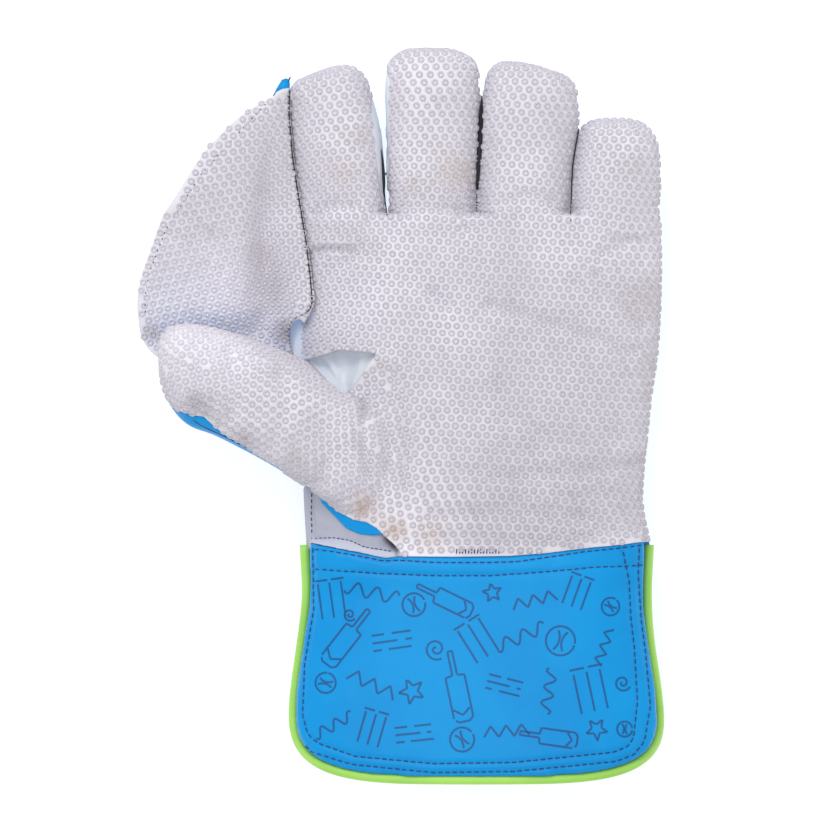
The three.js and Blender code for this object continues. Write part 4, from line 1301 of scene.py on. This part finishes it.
motifs = dict(
    stumps=[[(-5, -8), (-5, 8)], [(0, -8), (0, 8)], [(5, -8), (5, 8)], [(-6.5, 9), (-0.5, 9)],
            [(0.5, 9), (6.5, 9)]],
    ball=[arc(0, 0, 5.5, 0, 360), arc(-6.5, 0, 6, -42, 42), arc(6.5, 0, 6, 138, 222)],
    bat=[[(-3.2, -9), (-3.2, 5), (-0.8, 5.4), (-0.8, 13.4), (0.8, 13.4), (0.8, 5.4), (3.2, 5), (3.2, -9),
          (1.8, -10.2), (-1.8, -10.2), (-3.2, -9)], [(-3.1, -5.6), (0, -8), (3.1, -5.6)]],
    wave=[[(k, 2.4 * math.sin(k * 0.9)) for k in np.arange(-10, 10.1, 0.8)]],
    zigzag=[[(-9, -2), (-6, 2.5), (-3, -2), (0, 2.5), (3, -2), (6, 2.5), (9, -2)]],
    star=[[(5.5 * math.cos(a) * f, 5.5 * math.sin(a) * f) for a, f in
           zip(np.radians(np.arange(90, 451, 36)), [1, 0.42] * 6)]],
    swirl=[[(0.5 * a * math.cos(a), 0.5 * a * math.sin(a)) for a in np.arange(0.8, 12, 0.4)]],
    dashes=[[(-8, 3), (-2, 3)], [(0, 3), (8, 3)], [(-8, 0), (3, 0)], [(5, 0), (8, 0)],
            [(-8, -3), (-4, -3)], [(-2, -3), (8, -3)]],
)
layout = [  # motif, place on the grid, turn, scale
    ("stumps", 332, 600, 8, 1), ("wave", 372, 592, -12, 1.2), ("ball", 414, 604, 20, 0.9),
    ("bat", 448, 600, 64, 1.1), ("star", 492, 592, 10, 0.8), ("zigzag", 534, 600, 14, 1.1),
    ("stumps", 576, 592, -20, 0.85), ("ball", 610, 606, 50, 0.7), ("bat", 345, 640, -38, 1.25),
    ("dashes", 392, 640, 8, 1.1), ("swirl", 436, 648, 0, 0.85), ("stumps", 478, 640, 32, 1.05),
    ("wave", 520, 636, 24, 1.15), ("ball", 560, 640, -15, 1.15), ("zigzag", 604, 646, 70, 0.95),
    ("ball", 326, 682, 75, 0.8), ("zigzag", 372, 684, -25, 1.25), ("star", 412, 690, 25, 1.05),
    ("bat", 458, 690, 12, 1.3), ("dashes", 504, 684, -14, 1), ("wave", 548, 690, 80, 1),
    ("stumps", 590, 690, 12, 1.15), ("swirl", 622, 682, 40, 0.65), ("wave", 334, 724, 30, 0.95),
    ("stumps", 372, 728, -16, 0.9), ("dashes", 414, 732, 6, 1.05), ("ball", 462, 738, 35, 0.95),
    ("zigzag", 506, 730, 4, 1.1), ("bat", 552, 736, 82, 1.05), ("star", 596, 728, 40, 0.9),
    ("ball", 624, 728, 0, 0.6), ("swirl", 350, 614, 20, 0.5),
]
strokes = []
for motif, x, y, turn, scale in layout:
    centre, turn = traced([(x, y)])[0], math.radians(turn)
    for stroke in motifs[motif]:
        line = np.array(stroke, float) * scale
        strokes.append(np.stack([centre[0] + line[:, 0] * math.cos(turn) - line[:, 1] * math.sin(turn),
                                 centre[1] + line[:, 0] * math.sin(turn) + line[:, 1] * math.cos(turn)], 1))
cuffPrint = ribbons("cuffPrint", strokes, 0.85, 0.1)

# Seams and threads of web, thumb and wrist
webSeam = [(289.4, 89), (288.9, 115), (292.3, 157), (298.8, 199), (306.2, 242), (310.7, 279), (312.7, 303),
           (311, 309), (304, 314)]
edgeLine = [(268, 104), (236, 138), (201, 177), (167, 230), (150, 273), (145, 300), (147, 322)]
webThread = pills("webThread", [droppedLine(webTree, edgeLine, 2.7)], 0.8, 0.45, 0.4)
joinTree = treeOf(np.vstack([webPoints, facingPoints]),
                  np.vstack([webTriangles, facingTriangles + len(webPoints)]))
run = droppedLine(joinTree, webSeam, 1.0)
seamCord = fit(tube("seamCord", [spot + 0.45 * normal for spot, normal in run], 0.62, 6), "facing")
wall = []  # the web's side under the seam
for spot, _ in run:
    ground, _ = plumb(facingTree, spot[0] + 0.5, spot[1])
    low = ground.z - 0.5 if ground is not None else spot[2] - 2
    wall += [(spot[0] + 0.3, spot[1], spot[2] - 0.8), (spot[0] + 0.3, spot[1], min(low, spot[2] - 1.2))]
faces = [(2 * k, 2 * k + 1, 2 * k + 3, 2 * k + 2) for k in range(len(run) - 1)]
webWall = meshObject("webWall", wall, faces)
thicken(webWall, 1, 0)
fit(webWall, "facing")
seamThread = pills("seamThread", [droppedLine(joinTree, webSeam, 2.6)], 2.1, 0.36, 0.8, 1.4, "facing")
hemLine = [(304, 314.5), (299, 316), (293.5, 320), (289.6, 327), (289.2, 337), (290.2, 345), (292.6, 355)]
hemThread = pills("hemThread", [droppedLine(webTree, hemLine, 1.5)], 1.0, 0.45, 0.5, slot="facing")
tabCord = tube("tabCord", [(*spot, 48.6) for spot in traced([(290.8, 78), (289, 82), (286.8, 88)])], 0.6, 6)
thumbTree = treeOf(pointsOf(backs[1]), trianglesOf(backs[1]))
foldLine = [(194, 419.5), (203, 426), (214, 431), (228, 437.5), (244, 445.5), (256, 452)]
run = droppedLine(thumbTree, foldLine, 1.2)
thumbFold = tube("thumbFold", [spot - 0.1 * normal for spot, normal in run], 0.7, 6)
for cord in (tabCord, thumbFold):
    fit(cord, "blue_leather")
wristTree = treeOf(pointsOf(wristSoft), trianglesOf(wristSoft))
wristLine = [(312, 492), (311.5, 515), (312.5, 536)]
wristStitches = pills("wristStitches", [droppedLine(wristTree, wristLine, 2.6)],
                      1.7, 0.5, 0.5, slot="grey_leather")
wristSeamLine = [(310, 538.5), (334.7, 537.8), (350, 540.3), (365.3, 546.8), (392, 551)]
wristSeam = pills("wristSeam", [droppedLine(wristTree, wristSeamLine, 1.9)],
                  1.5, 0.45, 0.45, slot="grey_leather")
rootRuns = [droppedLine(skinTree, [(386.3, 198), (387.8, 220)], 1.3),
            droppedLine(skinTree, [(477, 193), (475.9, 216)], 1.2)]
rootStitches = pills("rootStitches", rootRuns, 0.8, 0.7, 0.7, slot="facing")
barTack = pills("barTack", [droppedLine(facingTree, [(455, 551), (500, 551)], 1.3)],
                2.2, 0.5, 0.6, 1.5, "facing")
print("stitches done")


# Materials
def nodesOf(name, roughness):
    material = bpy.data.materials.new(name)
    material.use_nodes = True
    tree = material.node_tree
    shader = tree.nodes["Principled BSDF"]
    shader.inputs["Roughness"].default_value = roughness
    place = tree.nodes.new("ShaderNodeTexCoord")
    return material, tree, shader, place.outputs["Object"]


def noise(tree, vector, scale, detail=4, rough=0.55):
    node = tree.nodes.new("ShaderNodeTexNoise")
    node.inputs["Scale"].default_value = scale
    node.inputs["Detail"].default_value = detail
    node.inputs["Roughness"].default_value = rough
    tree.links.new(vector, node.inputs["Vector"])
    return node.outputs["Fac"]


def attribute(tree, name):
    node = tree.nodes.new("ShaderNodeAttribute")
    node.attribute_name = name
    return node.outputs["Fac"]


def ramp(tree, value, stops):
    node = tree.nodes.new("ShaderNodeValToRGB")
    elements = node.color_ramp.elements
    elements[0].position, elements[0].color = stops[0][0], (*stops[0][1], 1)
    elements[1].position, elements[1].color = stops[-1][0], (*stops[-1][1], 1)
    for position, colour in stops[1:-1]:
        elements.new(position).color = (*colour, 1)
    tree.links.new(value, node.inputs["Fac"])
    return node.outputs["Color"]


def mixed(tree, share, a, b, kind="MIX"):
    node = tree.nodes.new("ShaderNodeMix")
    node.data_type = "RGBA"
    node.blend_type = kind
    sockets = [s for s in node.inputs if s.type == "RGBA"]
    if isinstance(share, float):
        node.inputs[0].default_value = share
    else:
        tree.links.new(share, node.inputs[0])
    for socket, colour in zip(sockets, (a, b)):
        if isinstance(colour, tuple):
            socket.default_value = (*colour, 1)
        else:
            tree.links.new(colour, socket)
    return [s for s in node.outputs if s.type == "RGBA"][0]


def bumped(tree, shader, height, strength, distance):
    node = tree.nodes.new("ShaderNodeBump")
    node.inputs["Strength"].default_value = strength
    node.inputs["Distance"].default_value = distance
    tree.links.new(height, node.inputs["Height"])
    tree.links.new(node.outputs["Normal"], shader.inputs["Normal"])


def linear(colour):
    shares = [c / 255 for c in colour]
    return tuple(c / 12.92 if c <= 0.04045 else ((c + 0.055) / 1.055) ** 2.4 for c in shares)


def leather(name, colour, dark, roughness, grain=900, depth=0.00012, gloss=0.5):
    material, tree, shader, place = nodesOf(name, roughness)
    blotch = ramp(tree, noise(tree, place, 22), [(0.35, linear(dark)), (0.62, linear(colour))])
    tree.links.new(blotch, shader.inputs["Base Color"])
    shader.inputs["Specular IOR Level"].default_value = gloss
    height = mixed(tree, 0.45, noise(tree, place, grain, 3), noise(tree, place, 60, 3))
    bumped(tree, shader, height, 0.5, depth)
    return material


stainsAndPaintedShading = [  # place on the grid, reach, colour, strength: real stains and dirt, darker patches that are partly dirt and partly painted shade, and one painted light patch
    ((365, 507), 9, (182, 152, 124), 1.0), ((393, 530), 8, (176, 146, 118), 1.0),
    # in the web's valley: darker patches, partly dirt and partly painted shade
    ((286, 332), 8, (104, 92, 98), 1.2), ((270, 285), 14, (128, 112, 114), 0.6),
    ((262, 255), 9, (130, 112, 110), 0.5), ((152, 333), 6, (128, 110, 100), 0.9),
    ((455, 170), 12, (200, 180, 160), 0.6), ((345, 175), 10, (196, 182, 176), 0.7),
    # (430, 535) is dirt; (640, 300) darkens the palm's right edge as painted shade
    ((430, 535), 10, (186, 164, 140), 0.6), ((640, 300), 14, (180, 168, 164), 0.6),
    # along the thumb's lower edge: darker patches, partly dirt and partly painted shade
    ((200, 405), 8, (110, 104, 114), 0.7), ((245, 440), 9, (120, 112, 122), 0.6),
    # broad darkening over the lower palm and heel, partly painted shade
    ((545, 430), 80, (168, 166, 174), 0.5), ((540, 528), 48, (158, 156, 166), 0.6),
    # painted light: lightens the shaded trough of the lower web
    ((212, 305), 42, (250, 246, 255), 0.95),
]


# ring is a darker colour painted on the cups' slopes as shade
rubberLook = dict(roughness=0.62, light=(230, 227, 235), dark=(216, 213, 221), ring=(190, 186, 197),
                  dirt=(168, 158, 150))


def rubber():
    material, tree, shader, place = nodesOf("rubber", rubberLook["roughness"])
    tones = [(0.35, linear(rubberLook["dark"])), (0.65, linear(rubberLook["light"]))]
    base = ramp(tree, noise(tree, place, 30), tones)
    # the cupShade share paints the cups' slopes darker: painted shade
    ringShaded = mixed(tree, attribute(tree, "cupShade"), base, linear(rubberLook["ring"]))
    dirt = ramp(tree, noise(tree, place, 45, 6, 0.7), [(0.56, (0, 0, 0)), (0.8, (0.5, 0.5, 0.5))])
    stainedAndShaded = mixed(tree, dirt, ringShaded, linear(rubberLook["dirt"]))
    # real stains and dirt, patches of painted shade and one of painted light, each fading out from its
    # place
    for spot, reach, colour, strength in stainsAndPaintedShading:
        x, y = (traced([spot])[0] - origin[:2]) * millimetre
        flat = tree.nodes.new("ShaderNodeVectorMath")
        flat.operation = "MULTIPLY"
        flat.inputs[1].default_value = (1, 1, 0)
        tree.links.new(place, flat.inputs[0])
        away = tree.nodes.new("ShaderNodeVectorMath")
        away.operation = "DISTANCE"
        away.inputs[1].default_value = (x, y, 0)
        tree.links.new(flat.outputs["Vector"], away.inputs[0])
        fade = tree.nodes.new("ShaderNodeMapRange")
        fade.inputs["From Max"].default_value = reach * millimetre
        fade.inputs["To Min"].default_value = strength
        fade.inputs["To Max"].default_value = 0
        tree.links.new(away.outputs["Value"], fade.inputs["Value"])
        patchy = tree.nodes.new("ShaderNodeMath")
        patchy.operation = "MULTIPLY"
        tree.links.new(fade.outputs["Result"], patchy.inputs[0])
        tree.links.new(noise(tree, place, 260, 3), patchy.inputs[1])
        stainedAndShaded = mixed(tree, patchy.outputs["Value"], stainedAndShaded, linear(colour))
    tree.links.new(stainedAndShaded, shader.inputs["Base Color"])
    bumped(tree, shader, noise(tree, place, 700, 3), 0.3, 0.0001)
    return material


leatherLooks = dict(
    blueLeather=dict(colour=(2, 149, 219), dark=(1, 140, 211), roughness=0.42, grain=1100, depth=0.00008,
                     gloss=0.2),
    paleLeather=dict(colour=(240, 244, 250), dark=(222, 229, 239), roughness=0.55),
    # near black, standing in for the deep shade in the finger gaps: painted shade
    paintedGapShade=dict(colour=(44, 44, 52), dark=(26, 26, 32), roughness=0.8),
    greyLeather=dict(colour=(178, 180, 193), dark=(161, 164, 180), roughness=0.8),
    printInk=dict(colour=(12, 92, 150), dark=(10, 82, 140), roughness=0.45, grain=1100, depth=0.00004,
                  gloss=0.35),
    limeLeather=dict(colour=(168, 224, 98), dark=(152, 208, 84), roughness=0.45, grain=800, depth=0.00006),
    navyThread=dict(colour=(48, 52, 122), dark=(34, 38, 100), roughness=0.6, grain=2600, depth=0.0001),
    darkThread=dict(colour=(62, 44, 52), dark=(40, 30, 36), roughness=0.6, grain=2600, depth=0.0001),
)
materials = {name: leather(name, **look) for name, look in leatherLooks.items()}
materials["rubber"] = rubber()
tree = materials["greyLeather"].node_tree  # two zones of the wrist gusset get their own colour: a paler lower strip, and painted shadow in the pocket under the facing's corner
shader = tree.nodes["Principled BSDF"]
for name, colour in (("lowerStrip", (190, 194, 210)), ("pocketShadow", (62, 60, 66))):
    ground = shader.inputs["Base Color"].links[0].from_socket
    coloured = mixed(tree, attribute(tree, name), ground, linear(colour))
    tree.links.new(coloured, shader.inputs["Base Color"])

wearing = dict(
    rubber=[facing, webFacing, webWall, *cupPieces],
    blueLeather=[*backs, thumbBase, webTab, cuffFront, cuffBack, webBacking],
    paintedGapShade=gapShadeSheets,
    paleLeather=[*strips, thumbSoft],
    greyLeather=[wristSoft],
    limeLeather=[cuffPiping, mouthPiping],
    printInk=[cuffPrint],
    navyThread=[cuffStitches, webThread, barTack, wristSeam, tabCord, thumbFold],
    darkThread=[seamCord, seamThread, hemThread, wristStitches, rootStitches],
)
for name, pieces in wearing.items():
    for piece in pieces:
        piece.data.materials.clear()
        piece.data.materials.append(materials[name])
print("materials done")

# Floor, light and camera
studio = dict(floorTone=0.4, floorGlow=0.75, sky=0.78, key=11, fill=8)
bpy.ops.object.select_all(action="DESELECT")
bpy.ops.mesh.primitive_plane_add(size=6, location=(0, 0, -0.0005))
floor = bpy.context.object
floor.name = "floor"
floorMaterial, _, shader, _ = nodesOf("floorWhite", 0.9)
shader.inputs["Base Color"].default_value = (*[studio["floorTone"]] * 3, 1)
shader.inputs["Emission Color"].default_value = (1, 1, 1, 1)
shader.inputs["Emission Strength"].default_value = studio["floorGlow"]
floor.data.materials.append(floorMaterial)

world = bpy.context.scene.world or bpy.data.worlds.new("World")
bpy.context.scene.world = world
world.use_nodes = True
background = world.node_tree.nodes["Background"]
background.inputs["Color"].default_value = (1, 1, 1, 1)
background.inputs["Strength"].default_value = studio["sky"]


def areaLight(name, place, aim, size, power):
    data = bpy.data.lights.new(name, "AREA")
    data.shape, data.size, data.energy = "SQUARE", size, power
    lamp = bpy.data.objects.new(name, data)
    lamp.location = place
    lamp.rotation_euler = (Vector(aim) - Vector(place)).to_track_quat("-Z", "Y").to_euler()
    bpy.context.collection.objects.link(lamp)


areaLight("key", (-0.45, 1.0, 1.5), (0, 0, 0.03), 0.8, studio["key"])
areaLight("fill", (0.05, -0.1, 2.6), (0, 0, 0.03), 1.1, studio["fill"])

view = dict(width=0.362, height=6, sensor=36, place=(0.0078, -0.0011, 6.03))
camera = bpy.data.objects.new("camera", bpy.data.cameras.new("camera"))
camera.data.sensor_width = view["sensor"]
camera.data.lens = view["sensor"] * view["height"] / view["width"]
camera.location = view["place"]
bpy.context.collection.objects.link(camera)
bpy.context.scene.camera = camera
bpy.context.scene.view_settings.view_transform = "Standard"

print("scene done")
